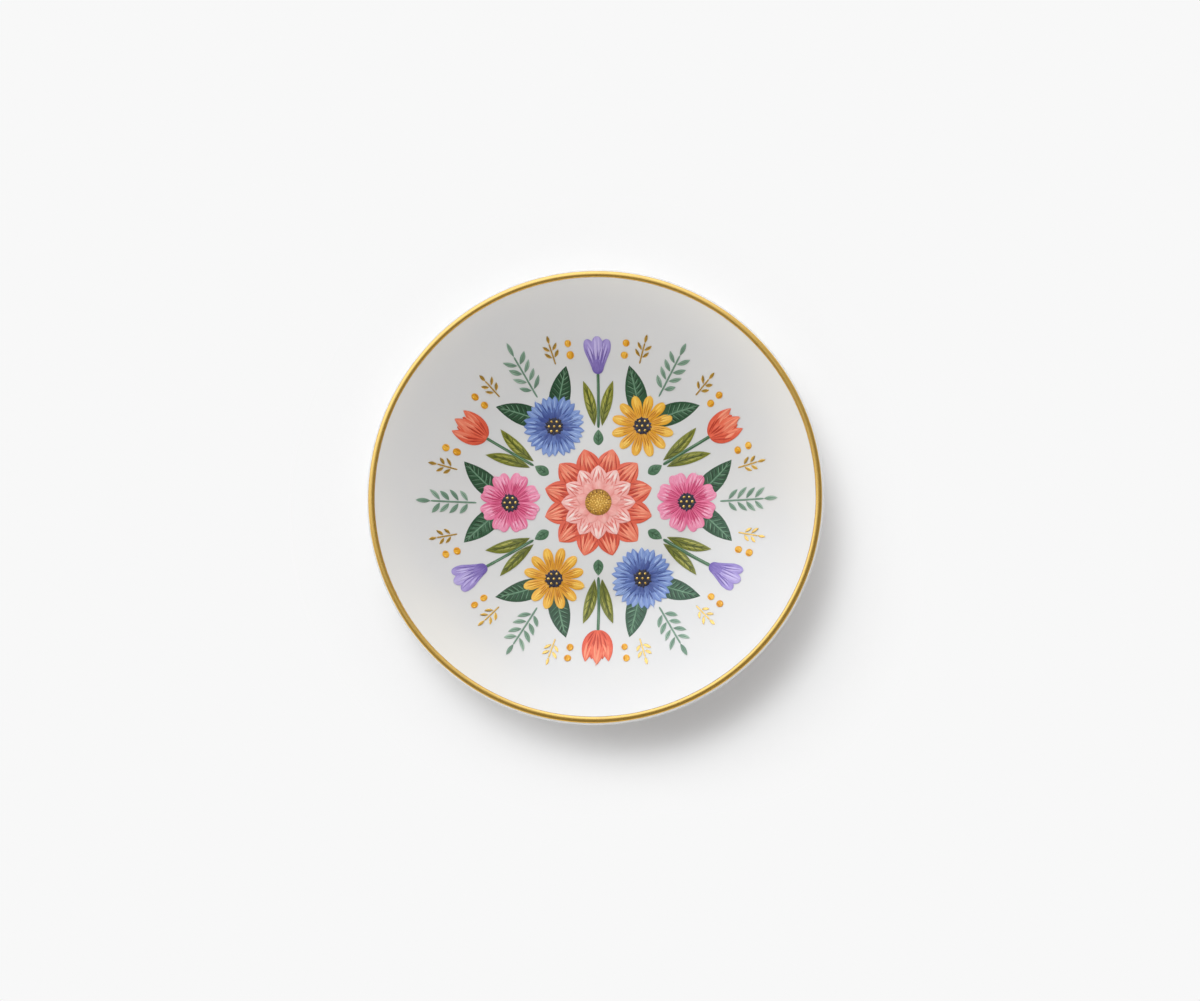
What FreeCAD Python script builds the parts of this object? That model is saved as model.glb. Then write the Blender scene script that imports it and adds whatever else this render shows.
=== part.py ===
"""Footed porcelain ring dish with a gilt lip and a fired-on flower rosette.

Millimetres and degrees. +Z is up, and the origin is the middle of the plane that the foot ring
stands on. The bisque body carries the glaze, the glaze carries the enamels in three firings, one on
top of the other, and a gilt line closes the lip. Every enamel is a flat flower shape cut out of the
thin curved layer of its firing, so it follows the well and the wall of the dish.
"""
import FreeCAD, Part
import math
import os

import Sketcher
from FreeCAD import Vector

DIMENSIONS = (
    # Bisque body
    ("rim_diameter", 101.5),
    ("dish_height", 19.8),
    ("lip_thickness", 1.8),
    ("wall_run", 28.85),
    ("well_curve_radius", 22.0),
    ("wall_curve_radius", 85.0),
    ("outer_curve_radius", 100.0),
    ("floor_thickness", 3.2),
    ("foot_step", 6.5),
    ("foot_width", 3.0),
    ("foot_height", 1.5),
    ("foot_fillet", 1.2),
    ("foot_edge_round", 0.4),
    ("recess_depth", 2.2),
    ("recess_fillet", 0.9),
    # Glaze and gilding
    ("glaze_thickness", 0.25),
    ("bare_foot_height", 0.7),
    ("film_gap", 0.06),
    ("gold_thickness", 0.2),
    ("gold_outer_spread", 43.0),
    ("gold_inner_spread", 37.0),
    # Enamel layers
    ("enamel_thickness", 0.1),
    ("print_gap", 0.5),
    # Middle flower
    ("dahlia_radius", 12.5),
    ("dahlia_notch_depth", 3.4),
    ("dahlia_petal_bulge", 0.5),
    ("dahlia_inner_radius", 8.4),
    ("dahlia_inner_notch_depth", 2.6),
    ("dahlia_inner_petal_bulge", 0.35),
    ("dahlia_heart_radius", 3.0),
    # Ring of six flowers
    ("bloom_radius", 7.0),
    ("cosmos_notch_depth", 2.6),
    ("cosmos_shoulder_drop", 0.6),
    ("cosmos_tip_dip", 0.5),
    ("cosmos_lobe_bulge", 0.3),
    ("daisy_notch_depth", 3.2),
    ("daisy_shoulder_drop", 0.9),
    ("cornflower_notch_depth", 2.6),
    ("cornflower_tooth_depth", 1.1),
    ("bloom_eye_radius", 2.0),
    ("stamen_ring_radius", 1.25),
    ("stamen_radius", 0.28),
    # Stems, heads and leaves
    ("collar_leaf_length", 3.4),
    ("collar_leaf_width", 2.4),
    ("stem_width", 0.7),
    ("stem_neck", 1.0),
    ("lance_leaf_length", 10.5),
    ("lance_leaf_width", 2.6),
    ("lance_leaf_angle", 14.0),
    ("dark_leaf_show", 6.8),
    ("dark_leaf_width", 4.6),
    ("dark_leaf_angle", 42.0),
    ("head_length", 8.0),
    ("head_width", 6.4),
    ("tulip_belly", 3.4),
    ("tulip_side_bulge", 0.6),
    ("tulip_tip_drop", 0.7),
    ("tulip_tip_inset", 0.6),
    ("tulip_valley_depth", 2.4),
    ("bell_crown_width", 2.2),
    ("bell_side_bulge", 0.3),
    ("bell_scallop_depth", 0.8),
    # Sprigs and dots
    ("fern_spacing", 2.0),
    ("fern_leaflet_length", 3.0),
    ("fern_leaflet_width", 1.0),
    ("fern_leaflet_angle", 50.0),
    ("fern_stem_width", 0.4),
    ("twig_angle", 13.0),
    ("twig_rise", 5.5),
    ("twig_spacing", 1.5),
    ("twig_leaflet_length", 1.9),
    ("twig_leaflet_width", 0.7),
    ("twig_leaflet_angle", 45.0),
    ("twig_stem_width", 0.35),
    ("berry_angle", 19.5),
    ("berry_rise", 6.6),
    ("berry_spacing", 2.6),
    ("berry_radius", 0.8),
)

# Counts of the rosette, which has the same sector six times.
REPEATS = 6
BLOOM_KINDS = 3
HEAD_KINDS = 2
DAHLIA_PETALS = 12
COSMOS_PETALS = 8
DAISY_PETALS = 12
CORNFLOWER_PETALS = 9
STAMENS = 6
FERN_PAIRS = 4
TWIG_PAIRS = 2
BERRIES = 2
GOLD_STROKES = 12
SECTOR = 360 / REPEATS
MID_SECTOR = SECTOR / 2

doc = FreeCAD.newDocument("ring_dish")
sheet = doc.addObject("Spreadsheet::Sheet", "sizes")
for row, (alias, size) in enumerate(DIMENSIONS, start=1):
    sheet.set(f"A{row}", alias)
    sheet.set(f"B{row}", str(size))
    sheet.setAlias(f"B{row}", alias)
doc.recompute()

# Places that follow from the sizes.
FLOOR_RADIUS = "(sizes.rim_diameter / 2 - sizes.lip_thickness / 2 - sizes.wall_run)"
FLOOR_LEVEL = "(sizes.recess_depth + sizes.floor_thickness)"
LIP_RADIUS = "(sizes.lip_thickness / 2)"
LIP_CENTRE_OUT = "(sizes.rim_diameter / 2 - sizes.lip_thickness / 2)"
LIP_CENTRE_UP = "(sizes.dish_height - sizes.lip_thickness / 2)"
FOOT_OUTER_RADIUS = f"({FLOOR_RADIUS} + sizes.foot_step)"
FOOT_INNER_RADIUS = f"({FOOT_OUTER_RADIUS} - sizes.foot_width)"
BLOOM_RING = "(sizes.dahlia_radius + sizes.print_gap + sizes.bloom_radius)"
BLOOM_EDGE = f"({BLOOM_RING} + sizes.bloom_radius)"
COLLAR_BASE = "(sizes.dahlia_radius + sizes.print_gap)"
STEM_START = f"({COLLAR_BASE} + sizes.collar_leaf_length + sizes.print_gap)"
LANCE_BASE = f"({STEM_START} + sizes.print_gap)"
LANCE_SIDE = "(sizes.stem_width / 2 + sizes.print_gap)"
LANCE_ANGLE = "(sizes.lance_leaf_angle * 1 deg)"
STEM_END = f"({LANCE_BASE} + sizes.lance_leaf_length * cos{LANCE_ANGLE} + sizes.stem_neck)"
HEAD_BASE = f"({STEM_END} + sizes.print_gap)"
DARK_ANGLE = "(sizes.dark_leaf_angle * 1 deg)"
FERN_BASE = f"({BLOOM_EDGE} + sizes.print_gap)"


def number(expression):
    """The present value of an expression of the sheet."""
    return float(sheet.evalExpression(str(expression)))


def bind(sketch, constraint, expression):
    """Adds a constraint whose datum follows an expression."""
    index = sketch.addConstraint(constraint)
    sketch.setExpression(f"Constraints[{index}]", str(expression))


def fix_point(sketch, edge, end, out, up):
    """Ties one end of an edge to two expressions, measured from the sketch's origin."""
    bind(sketch, Sketcher.Constraint("DistanceX", -1, 1, edge, end, number(out)), out)
    bind(sketch, Sketcher.Constraint("DistanceY", -1, 1, edge, end, number(up)), up)


def fix_radius(sketch, edge, radius):
    """Ties the radius of an arc or a circle to an expression."""
    bind(sketch, Sketcher.Constraint("Radius", edge, number(radius)), radius)


def add_arc(sketch, centre, radius, start, end):
    """Adds an arc that runs anticlockwise between two angles in radians."""
    circle = Part.Circle(Vector(*centre, 0), Vector(0, 0, 1), radius)
    return sketch.addGeometry(Part.ArcOfCircle(circle, start, end))


def add_line(sketch, start, end):
    """Adds a straight edge."""
    return sketch.addGeometry(Part.LineSegment(Vector(*start, 0), Vector(*end, 0)))


def new_sketch(name, body, plane):
    """A sketch on one of a body's own origin planes."""
    sketch = body.newObject("Sketcher::SketchObject", name)
    sketch.AttachmentSupport = [(origin_part(body, plane), "")]
    sketch.MapMode = "FlatFace"
    return sketch


def origin_part(body, role):
    """One of a body's own origin planes or axes."""
    return [part for part in body.Origin.OriginFeatures if part.Role == role][0]


def wall_angles():
    """Slopes, in radians, where the well curve meets the wall curve, and the wall meets the lip.

    The centres of the two curves and of the lip form a triangle with known sides, so the cosine
    rule gives the angle between the slopes, and the place of the lip gives the slopes themselves.
    """
    inner_side = number("sizes.wall_curve_radius - sizes.well_curve_radius")
    outer_side = number(f"sizes.wall_curve_radius + {LIP_RADIUS}")
    reach = number(f"{LIP_CENTRE_OUT} - {FLOOR_RADIUS}")
    rise = number(f"{LIP_CENTRE_UP} - {FLOOR_LEVEL} - sizes.well_curve_radius")
    cosine = (inner_side**2 + outer_side**2 - reach**2 - rise**2) / (2 * inner_side * outer_side)
    turn = math.acos(cosine)
    slant = math.atan2(inner_side - outer_side * math.cos(turn), outer_side * math.sin(turn))
    well_slope = math.atan2(rise, reach) - slant
    return well_slope, well_slope + turn


def smooth(sketch, edge, end, after, start):
    """Joins two edges end to end, without a corner."""
    sketch.addConstraint(Sketcher.Constraint("Tangent", edge, end, after, start))


def join(sketch, edge, end, after, start):
    """Joins two edges end to end, with a corner."""
    sketch.addConstraint(Sketcher.Constraint("Coincident", edge, end, after, start))


def point_of(sketch, edge, end):
    """Where one end of an edge lies now."""
    point = sketch.getPoint(edge, end)
    return point.x, point.y


def close_with_line(sketch, edge, end, after, start):
    """Draws a straight edge from the end of one edge to the end of another."""
    line = add_line(sketch, point_of(sketch, edge, end), point_of(sketch, after, start))
    join(sketch, edge, end, line, 1)
    join(sketch, line, 2, after, start)
    return line


def draw_upper_line(sketch, lift):
    """Draws the floor, well curve, wall curve and lip, a lift above the bisque.

    All lifts share their centres. The lip's outer end is left to what is drawn on from there.
    """
    well_slope, lip_slope = wall_angles()
    quarter = math.pi / 2
    level = f"({FLOOR_LEVEL} + {lift})"
    well_radius = f"(sizes.well_curve_radius - {lift})"
    wall_radius = f"(sizes.wall_curve_radius - {lift})"
    lip_radius = f"({LIP_RADIUS} + {lift})"
    floor_edge = number(FLOOR_RADIUS)
    well_centre = (floor_edge, number(f"{FLOOR_LEVEL} + sizes.well_curve_radius"))
    back = number("sizes.wall_curve_radius - sizes.well_curve_radius")
    wall_centre = (well_centre[0] - back * math.sin(well_slope),
                   well_centre[1] + back * math.cos(well_slope))
    lip_centre = (number(LIP_CENTRE_OUT), number(LIP_CENTRE_UP))
    floor = add_line(sketch, (0, number(level)), (floor_edge, number(level)))
    well = add_arc(sketch, well_centre, number(well_radius), -quarter, well_slope - quarter)
    wall = add_arc(sketch, wall_centre, number(wall_radius), well_slope - quarter,
                   lip_slope - quarter)
    lip = add_arc(sketch, lip_centre, number(lip_radius), 0, lip_slope + quarter)
    sketch.addConstraint(Sketcher.Constraint("PointOnObject", floor, 1, -2))
    sketch.addConstraint(Sketcher.Constraint("Horizontal", floor))
    fix_point(sketch, floor, 2, FLOOR_RADIUS, level)
    fix_point(sketch, lip, 3, LIP_CENTRE_OUT, LIP_CENTRE_UP)
    smooth(sketch, floor, 2, well, 1)
    smooth(sketch, well, 2, wall, 1)
    smooth(sketch, wall, 2, lip, 2)
    fix_radius(sketch, well, well_radius)
    fix_radius(sketch, wall, wall_radius)
    fix_radius(sketch, lip, lip_radius)
    return floor, wall, lip


def draw_outer_line(sketch, lip, lift, foot_end):
    """Draws the outer wall on from the lip, the foot's fillet and its side, down to a height."""
    wall_radius = f"(sizes.outer_curve_radius + {lift})"
    fillet_radius = f"(sizes.foot_fillet - {lift})"
    foot = f"({FOOT_OUTER_RADIUS} + {lift})"
    lip_centre = Vector(number(LIP_CENTRE_OUT), number(LIP_CENTRE_UP), 0)
    corner_centre = Vector(number(f"{FOOT_OUTER_RADIUS} + sizes.foot_fillet"),
                           number("sizes.foot_height"), 0)
    to_lip = number(f"sizes.outer_curve_radius - {LIP_RADIUS}")
    to_corner = number("sizes.outer_curve_radius + sizes.foot_fillet")
    span = corner_centre - lip_centre
    along = (to_lip**2 - to_corner**2 + span.Length**2) / (2 * span.Length)
    aside = math.sqrt(to_lip**2 - along**2)
    unit = span / span.Length
    centre = lip_centre + unit * along + Vector(unit.y, -unit.x, 0) * aside
    lip_way = math.atan2(lip_centre.y - centre.y, lip_centre.x - centre.x)
    foot_way = math.atan2(corner_centre.y - centre.y, corner_centre.x - centre.x)
    wall = add_arc(sketch, (centre.x, centre.y), number(wall_radius), foot_way, lip_way)
    fillet = add_arc(sketch, (corner_centre.x, corner_centre.y), number(fillet_radius),
                     foot_way + math.pi, math.pi)
    side = add_line(sketch, (number(foot), corner_centre.y), (number(foot), number(foot_end)))
    smooth(sketch, lip, 1, wall, 2)
    smooth(sketch, wall, 1, fillet, 1)
    smooth(sketch, fillet, 2, side, 1)
    sketch.addConstraint(Sketcher.Constraint("Vertical", side))
    fix_radius(sketch, wall, wall_radius)
    fix_radius(sketch, fillet, fillet_radius)
    fix_point(sketch, side, 2, foot, foot_end)
    top = Sketcher.Constraint("DistanceY", -1, 1, side, 1, corner_centre.y)
    bind(sketch, top, "sizes.foot_height")
    return side


def draw_base_line(sketch, lift, foot_end):
    """Draws the foot's inner side, its fillet and the recess ceiling, a lift off the bisque."""
    inner = f"({FOOT_INNER_RADIUS} - {lift})"
    level = f"(sizes.recess_depth - {lift})"
    radius = f"(sizes.recess_fillet - {lift})"
    bend = (number(f"{inner} - {radius}"), number(f"{level} - {radius}"))
    side = add_line(sketch, (number(inner), number(foot_end)), (number(inner), bend[1]))
    fillet = add_arc(sketch, bend, number(radius), 0, math.pi / 2)
    ceiling = add_line(sketch, (bend[0], number(level)), (0, number(level)))
    smooth(sketch, side, 2, fillet, 1)
    smooth(sketch, fillet, 2, ceiling, 1)
    sketch.addConstraint(Sketcher.Constraint("Vertical", side))
    sketch.addConstraint(Sketcher.Constraint("Horizontal", ceiling))
    sketch.addConstraint(Sketcher.Constraint("PointOnObject", ceiling, 2, -2))
    fix_point(sketch, side, 1, inner, foot_end)
    bind(sketch, Sketcher.Constraint("DistanceY", -1, 1, ceiling, 2, number(level)), level)
    fix_radius(sketch, fillet, radius)
    return side, ceiling


def make_turned(name, draw, turn=360):
    """A body whose closed section, drawn by a function, is turned round the dish's axis."""
    body = doc.addObject("PartDesign::Body", name)
    sketch = new_sketch(f"{name}_section", body, "XZ_Plane")
    draw(sketch)
    turned = body.newObject("PartDesign::Revolution", f"{name}_turned")
    turned.Profile = sketch
    turned.ReferenceAxis = (sketch, ["V_Axis"])
    turned.Angle = turn
    body.Tip = turned
    return body


def repeat(body, copies):
    """Repeats a body's only feature round the dish's axis, with the joints kept as edges."""
    pattern = body.newObject("PartDesign::PolarPattern", f"{body.Name}_pattern")
    pattern.Originals = [body.Tip]
    pattern.Axis = (origin_part(body, "Z_Axis"), [""])
    pattern.Angle = 360
    pattern.Occurrences = copies
    pattern.Refine = False
    body.Tip = pattern


def draw_body_section(sketch):
    """The bisque's section: well, lip, outer wall, foot ring and recess."""
    floor, _, lip = draw_upper_line(sketch, "0")
    outer_side = draw_outer_line(sketch, lip, "0", "0")
    inner_side, ceiling = draw_base_line(sketch, "0", "0")
    close_with_line(sketch, outer_side, 2, inner_side, 1)
    close_with_line(sketch, ceiling, 2, floor, 1)


def make_porcelain_body():
    """The bisque dish, with the foot ring's two standing edges rounded."""
    body = make_turned("porcelain_body", draw_body_section)
    doc.recompute()
    turned = body.Tip
    standing = [f"Edge{index}" for index, edge in enumerate(turned.Shape.Edges, start=1)
                if edge.BoundBox.ZMax < number("sizes.foot_edge_round") / 2]
    rounded = body.newObject("PartDesign::Fillet", "foot_edges")
    rounded.Base = (turned, standing)
    rounded.Radius = number("sizes.foot_edge_round")
    rounded.setExpression("Radius", "sizes.foot_edge_round")
    body.Tip = rounded
    return body


def draw_glaze_section(sketch):
    """A coat over the well, the lip, the outer wall and the foot's outer side."""
    ends = []
    for lift in ("0", "sizes.glaze_thickness"):
        floor, _, lip = draw_upper_line(sketch, lift)
        ends.append((floor, draw_outer_line(sketch, lip, lift, "sizes.bare_foot_height")))
    (under_floor, under_side), (over_floor, over_side) = ends
    close_with_line(sketch, under_floor, 1, over_floor, 1)
    close_with_line(sketch, under_side, 2, over_side, 2)


def draw_base_glaze_section(sketch):
    """A coat on the recess ceiling and down the foot's inner side."""
    under_side, under_ceiling = draw_base_line(sketch, "0", "sizes.bare_foot_height")
    over_side, over_ceiling = draw_base_line(sketch, "sizes.glaze_thickness",
                                             "sizes.bare_foot_height")
    close_with_line(sketch, under_side, 1, over_side, 1)
    close_with_line(sketch, under_ceiling, 2, over_ceiling, 2)


def draw_gold_section(sketch):
    """A thin sleeve round the glazed lip, between two angles from its crown."""
    centre = (number(LIP_CENTRE_OUT), number(LIP_CENTRE_UP))
    under = f"({LIP_RADIUS} + sizes.glaze_thickness + sizes.film_gap)"
    over = f"({under} + sizes.gold_thickness)"
    ends = ("(90 deg - sizes.gold_outer_spread * 1 deg)", "(90 deg + sizes.gold_inner_spread * 1 deg)")
    start, stop = [math.radians(number(end)) for end in ends]
    arcs = []
    for radius in (under, over):
        arc = add_arc(sketch, centre, number(radius), start, stop)
        fix_point(sketch, arc, 3, LIP_CENTRE_OUT, LIP_CENTRE_UP)
        fix_radius(sketch, arc, radius)
        for tip, angle in enumerate(ends, start=1):
            out = f"({LIP_CENTRE_OUT} + {radius} * cos{angle})"
            bind(sketch, Sketcher.Constraint("DistanceX", -1, 1, arc, tip, number(out)), out)
        arcs.append(arc)
    for tip in (1, 2):
        close_with_line(sketch, arcs[0], tip, arcs[1], tip)


def make_gold_rim_band():
    """The gilt line, laid on in equal strokes that meet end to end."""
    body = make_turned("gold_rim_band", draw_gold_section, 360 / GOLD_STROKES)
    repeat(body, GOLD_STROKES)
    return body


def make_firing(order):
    """The thin curved layer that the enamels of one firing are cut from."""
    def draw(sketch):
        under = f"({order} * (sizes.film_gap + sizes.enamel_thickness) + sizes.film_gap)"
        ends = []
        for rise in (under, f"{under} + sizes.enamel_thickness"):
            floor, wall, lip = draw_upper_line(sketch, f"(sizes.glaze_thickness + {rise})")
            sketch.toggleConstruction(lip)
            level = Sketcher.Constraint("DistanceY", -1, 1, lip, 1, number(LIP_CENTRE_UP))
            bind(sketch, level, LIP_CENTRE_UP)
            ends.append((floor, wall))
        (under_floor, under_wall), (over_floor, over_wall) = ends
        close_with_line(sketch, under_floor, 1, over_floor, 1)
        close_with_line(sketch, under_wall, 2, over_wall, 2)
    return make_turned(f"firing_{order}", draw)


def polar(out, aside="0", angle=0):
    """A point's two expressions: so far out along a spoke at an angle, and so far to its left."""
    turn = f"({angle} * 1 deg)"
    return (f"(({out}) * cos{turn} - ({aside}) * sin{turn})",
            f"(({out}) * sin{turn} + ({aside}) * cos{turn})")


def draw_loop(sketch, corners, bulges):
    """Draws a closed outline, anticlockwise, whose edges are straight or swell by a bulge.

    An edge of chord c that swells by b is an arc of radius c * c / (8 * b) + b / 2.
    """
    points = [(number(out), number(up)) for out, up in corners]
    edges = []
    for index, bulge in enumerate(bulges):
        after = (index + 1) % len(corners)
        start = Vector(*points[index], 0)
        end = Vector(*points[after], 0)
        if bulge is None:
            edges.append(add_line(sketch, points[index], points[after]))
            continue
        chord = (f"(({corners[after][0]} - {corners[index][0]})^2"
                 f" + ({corners[after][1]} - {corners[index][1]})^2)")
        radius = f"({chord} / (8 * ({bulge})) + ({bulge}) / 2)"
        outward = Vector(end.y - start.y, start.x - end.x, 0).normalize()
        centre = (start + end) / 2 + outward * (number(bulge) - number(radius))
        first = math.atan2(start.y - centre.y, start.x - centre.x)
        last = math.atan2(end.y - centre.y, end.x - centre.x)
        edges.append(add_arc(sketch, (centre.x, centre.y), number(radius), first, last))
        fix_radius(sketch, edges[-1], radius)
    for index, (out, up) in enumerate(corners):
        sketch.addConstraint(Sketcher.Constraint("Coincident", edges[index - 1], 2, edges[index], 1))
        fix_point(sketch, edges[index], 1, out, up)


def draw_bar(sketch, start, end, width, angle):
    """Draws a straight bar along a spoke, from one distance out to another."""
    half = f"({width} / 2)"
    corners = [polar(start, f"-{half}", angle), polar(end, f"-{half}", angle),
               polar(end, half, angle), polar(start, half, angle)]
    draw_loop(sketch, corners, [None] * len(corners))


def draw_circle(sketch, centre, radius):
    """Draws a round dot."""
    place = Vector(number(centre[0]), number(centre[1]), 0)
    dot = sketch.addGeometry(Part.Circle(place, Vector(0, 0, 1), number(radius)))
    fix_point(sketch, dot, 3, *centre)
    fix_radius(sketch, dot, radius)


def draw_leaf(sketch, base, length, width, lean="0", angle=0):
    """Draws a pointed leaf: two equal arcs from a base (out, aside), leaning off the spoke."""
    out, aside = base
    tip = polar(f"{out} + {length} * cos({lean})", f"{aside} + {length} * sin({lean})", angle)
    draw_loop(sketch, [polar(out, aside, angle), tip], [f"{width} / 2"] * 2)


def draw_flower(sketch, centre, petals, petal, turn=0):
    """Draws a flower's outline from one petal's corners: (radius, share of the pitch, bulge)."""
    pitch = 360 / petals
    corners = []
    bulges = []
    for count in range(petals):
        for radius, share, bulge in petal:
            out, up = polar(radius, angle=turn + pitch * (count + share))
            corners.append((f"({centre[0]} + {out})", f"({centre[1]} + {up})"))
            bulges.append(bulge)
    draw_loop(sketch, corners, bulges)


def draw_sprig(sketch, base, angle, pairs, name):
    """Draws a thin stem with pairs of leaflets and one at its end, none of them touching."""
    spacing = f"sizes.{name}_spacing"
    stem = f"sizes.{name}_stem_width"
    length = f"sizes.{name}_leaflet_length"
    width = f"sizes.{name}_leaflet_width"
    lean = f"sizes.{name}_leaflet_angle * 1 deg"
    side = f"({stem} / 2 + sizes.print_gap / 2)"
    top = f"({base} + {spacing} * {pairs + 1})"
    draw_bar(sketch, base, top, stem, angle)
    draw_leaf(sketch, (f"({top} + sizes.print_gap / 2)", "0"), length, width, angle=angle)
    for pair in range(1, pairs + 1):
        out = f"({base} + {spacing} * {pair})"
        draw_leaf(sketch, (out, side), length, width, lean, angle)
        draw_leaf(sketch, (out, f"-{side}"), length, width, f"-{lean}", angle)


def make_stencil(name, draw, copies):
    """A flat drawing made as tall as the dish and repeated round its axis."""
    body = doc.addObject("PartDesign::Body", f"{name}_stencil")
    sketch = new_sketch(f"{name}_drawing", body, "XY_Plane")
    draw(sketch)
    pad = body.newObject("PartDesign::Pad", f"{name}_pad")
    pad.Profile = sketch
    pad.Length = number("sizes.dish_height")
    pad.setExpression("Length", "sizes.dish_height")
    if copies > 1:
        repeat(body, copies)
    return body


def make_enamel(name, firing, draw, copies=1):
    """An enamel colour: its stencil's share of a firing's layer."""
    enamel = doc.addObject("Part::Common", name)
    enamel.Base = make_stencil(name, draw, copies)
    enamel.Tool = firing
    return enamel


def bloom_centre(place):
    """The centre of one of the ring's flowers, counted in sectors."""
    return polar(BLOOM_RING, angle=SECTOR * place)


def draw_dahlia_outer(sketch):
    """Twelve pointed petals."""
    petal = [("sizes.dahlia_radius - sizes.dahlia_notch_depth", 0, "sizes.dahlia_petal_bulge"),
             ("sizes.dahlia_radius", 0.5, "sizes.dahlia_petal_bulge")]
    draw_flower(sketch, ("0", "0"), DAHLIA_PETALS, petal)


def draw_dahlia_inner(sketch):
    """Twelve smaller pointed petals, set between the outer ones."""
    notch = "sizes.dahlia_inner_radius - sizes.dahlia_inner_notch_depth"
    petal = [(notch, 0, "sizes.dahlia_inner_petal_bulge"),
             ("sizes.dahlia_inner_radius", 0.5, "sizes.dahlia_inner_petal_bulge")]
    draw_flower(sketch, ("0", "0"), DAHLIA_PETALS, petal, 180 / DAHLIA_PETALS)


def draw_cosmos(sketch):
    """Eight broad petals, each with a dip in its tip."""
    shoulder = "sizes.bloom_radius - sizes.cosmos_shoulder_drop"
    petal = [("sizes.bloom_radius - sizes.cosmos_notch_depth", 0, None),
             (shoulder, 0.2, "sizes.cosmos_lobe_bulge"),
             ("sizes.bloom_radius - sizes.cosmos_tip_dip", 0.5, "sizes.cosmos_lobe_bulge"),
             (shoulder, 0.8, None)]
    draw_flower(sketch, bloom_centre(0), COSMOS_PETALS, petal)


def draw_daisy(sketch):
    """Twelve narrow petals with round tips that reach the bloom's radius."""
    shoulder = "(sizes.bloom_radius - sizes.daisy_shoulder_drop)"
    near = 0.12
    half_turn = (0.5 - near) * 360 / DAISY_PETALS
    tip_bulge = f"(sizes.bloom_radius - {shoulder} * cos({half_turn} deg))"
    petal = [("sizes.bloom_radius - sizes.daisy_notch_depth", 0, None),
             (shoulder, near, tip_bulge),
             (shoulder, 1 - near, None)]
    draw_flower(sketch, bloom_centre(1), DAISY_PETALS, petal)


def draw_cornflower(sketch):
    """Nine florets, each with a toothed end of three points."""
    tip = "sizes.bloom_radius"
    dip = "sizes.bloom_radius - sizes.cornflower_tooth_depth"
    petal = [("sizes.bloom_radius - sizes.cornflower_notch_depth", 0, None),
             (tip, 0.2, None), (dip, 0.35, None), (tip, 0.5, None), (dip, 0.65, None),
             (tip, 0.8, None)]
    draw_flower(sketch, bloom_centre(2), CORNFLOWER_PETALS, petal)


def draw_eye(sketch):
    """The round eye of a ring flower."""
    draw_circle(sketch, bloom_centre(0), "sizes.bloom_eye_radius")


def draw_stamens(sketch):
    """One dot in the middle of an eye and a ring of them round it."""
    draw_circle(sketch, bloom_centre(0), "sizes.stamen_radius")
    for count in range(STAMENS):
        out, up = polar("sizes.stamen_ring_radius", angle=count * 360 / STAMENS)
        draw_circle(sketch, (f"{BLOOM_RING} + {out}", up), "sizes.stamen_radius")


def draw_heart(sketch):
    """The round heart of the middle flower."""
    draw_circle(sketch, ("0", "0"), "sizes.dahlia_heart_radius")


def draw_collar_leaf(sketch):
    """A short leaf just outside the middle flower."""
    draw_leaf(sketch, (COLLAR_BASE, "0"), "sizes.collar_leaf_length", "sizes.collar_leaf_width",
              angle=MID_SECTOR)


def draw_stem(sketch):
    """A straight stem between two ring flowers."""
    draw_bar(sketch, STEM_START, STEM_END, "sizes.stem_width", MID_SECTOR)


def draw_lance_leaves(sketch):
    """Two narrow leaves, one on each side of a stem."""
    for sign in ("", "-"):
        draw_leaf(sketch, (LANCE_BASE, f"{sign}{LANCE_SIDE}"), "sizes.lance_leaf_length",
                  "sizes.lance_leaf_width", f"{sign}{LANCE_ANGLE}", MID_SECTOR)


def draw_dark_leaf(sign):
    """A drawing of the broad leaf on one side of a ring flower, from the flower's centre."""
    def draw(sketch):
        draw_leaf(sketch, (BLOOM_RING, "0"), "(sizes.bloom_radius + sizes.dark_leaf_show)",
                  "sizes.dark_leaf_width", f"{sign}{DARK_ANGLE}")
    return draw


def draw_bloom_clearance(sketch):
    """The round space that a ring flower takes up."""
    draw_circle(sketch, bloom_centre(0), "sizes.bloom_radius + sizes.print_gap")


def draw_lane(width, angle):
    """A drawing of the straight lane that a stem or a sprig takes up along its spoke."""
    def draw(sketch):
        draw_bar(sketch, "0", "sizes.rim_diameter / 2", width, angle)
    return draw


def draw_tulip(sketch):
    """A cup of three pointed petals."""
    half = "sizes.head_width / 2"
    tip_side = f"({half} - sizes.tulip_tip_inset)"
    top = f"({HEAD_BASE} + sizes.head_length)"
    side = [(f"{HEAD_BASE} + sizes.tulip_belly", f"({half})"),
            (f"{top} - sizes.tulip_tip_drop", tip_side),
            (f"{top} - sizes.tulip_valley_depth", f"({tip_side} / 2)")]
    right = [polar(out, f"-{aside}", MID_SECTOR) for out, aside in side]
    left = [polar(out, aside, MID_SECTOR) for out, aside in reversed(side)]
    corners = [polar(HEAD_BASE, angle=MID_SECTOR), *right, polar(top, angle=MID_SECTOR), *left]
    swell = "sizes.tulip_side_bulge"
    draw_loop(sketch, corners, [swell, swell, None, None, None, None, swell, swell])


def draw_bellflower(sketch):
    """A bell with a narrow crown and a mouth of three scallops."""
    angle = MID_SECTOR + SECTOR
    mouth = f"({HEAD_BASE} + sizes.head_length - sizes.bell_scallop_depth)"
    half = "(sizes.head_width / 2)"
    crown = "(sizes.bell_crown_width / 2)"
    third = "(sizes.head_width / 6)"
    corners = [polar(HEAD_BASE, f"-{crown}", angle), polar(mouth, f"-{half}", angle),
               polar(mouth, f"-{third}", angle), polar(mouth, third, angle),
               polar(mouth, half, angle), polar(HEAD_BASE, crown, angle)]
    swell = "sizes.bell_side_bulge"
    scallop = "sizes.bell_scallop_depth"
    draw_loop(sketch, corners, [swell, scallop, scallop, scallop, swell, swell])


def draw_fern(sketch):
    """A sprig on the spoke of a ring flower, just outside it."""
    draw_sprig(sketch, FERN_BASE, 0, FERN_PAIRS, "fern")


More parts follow.
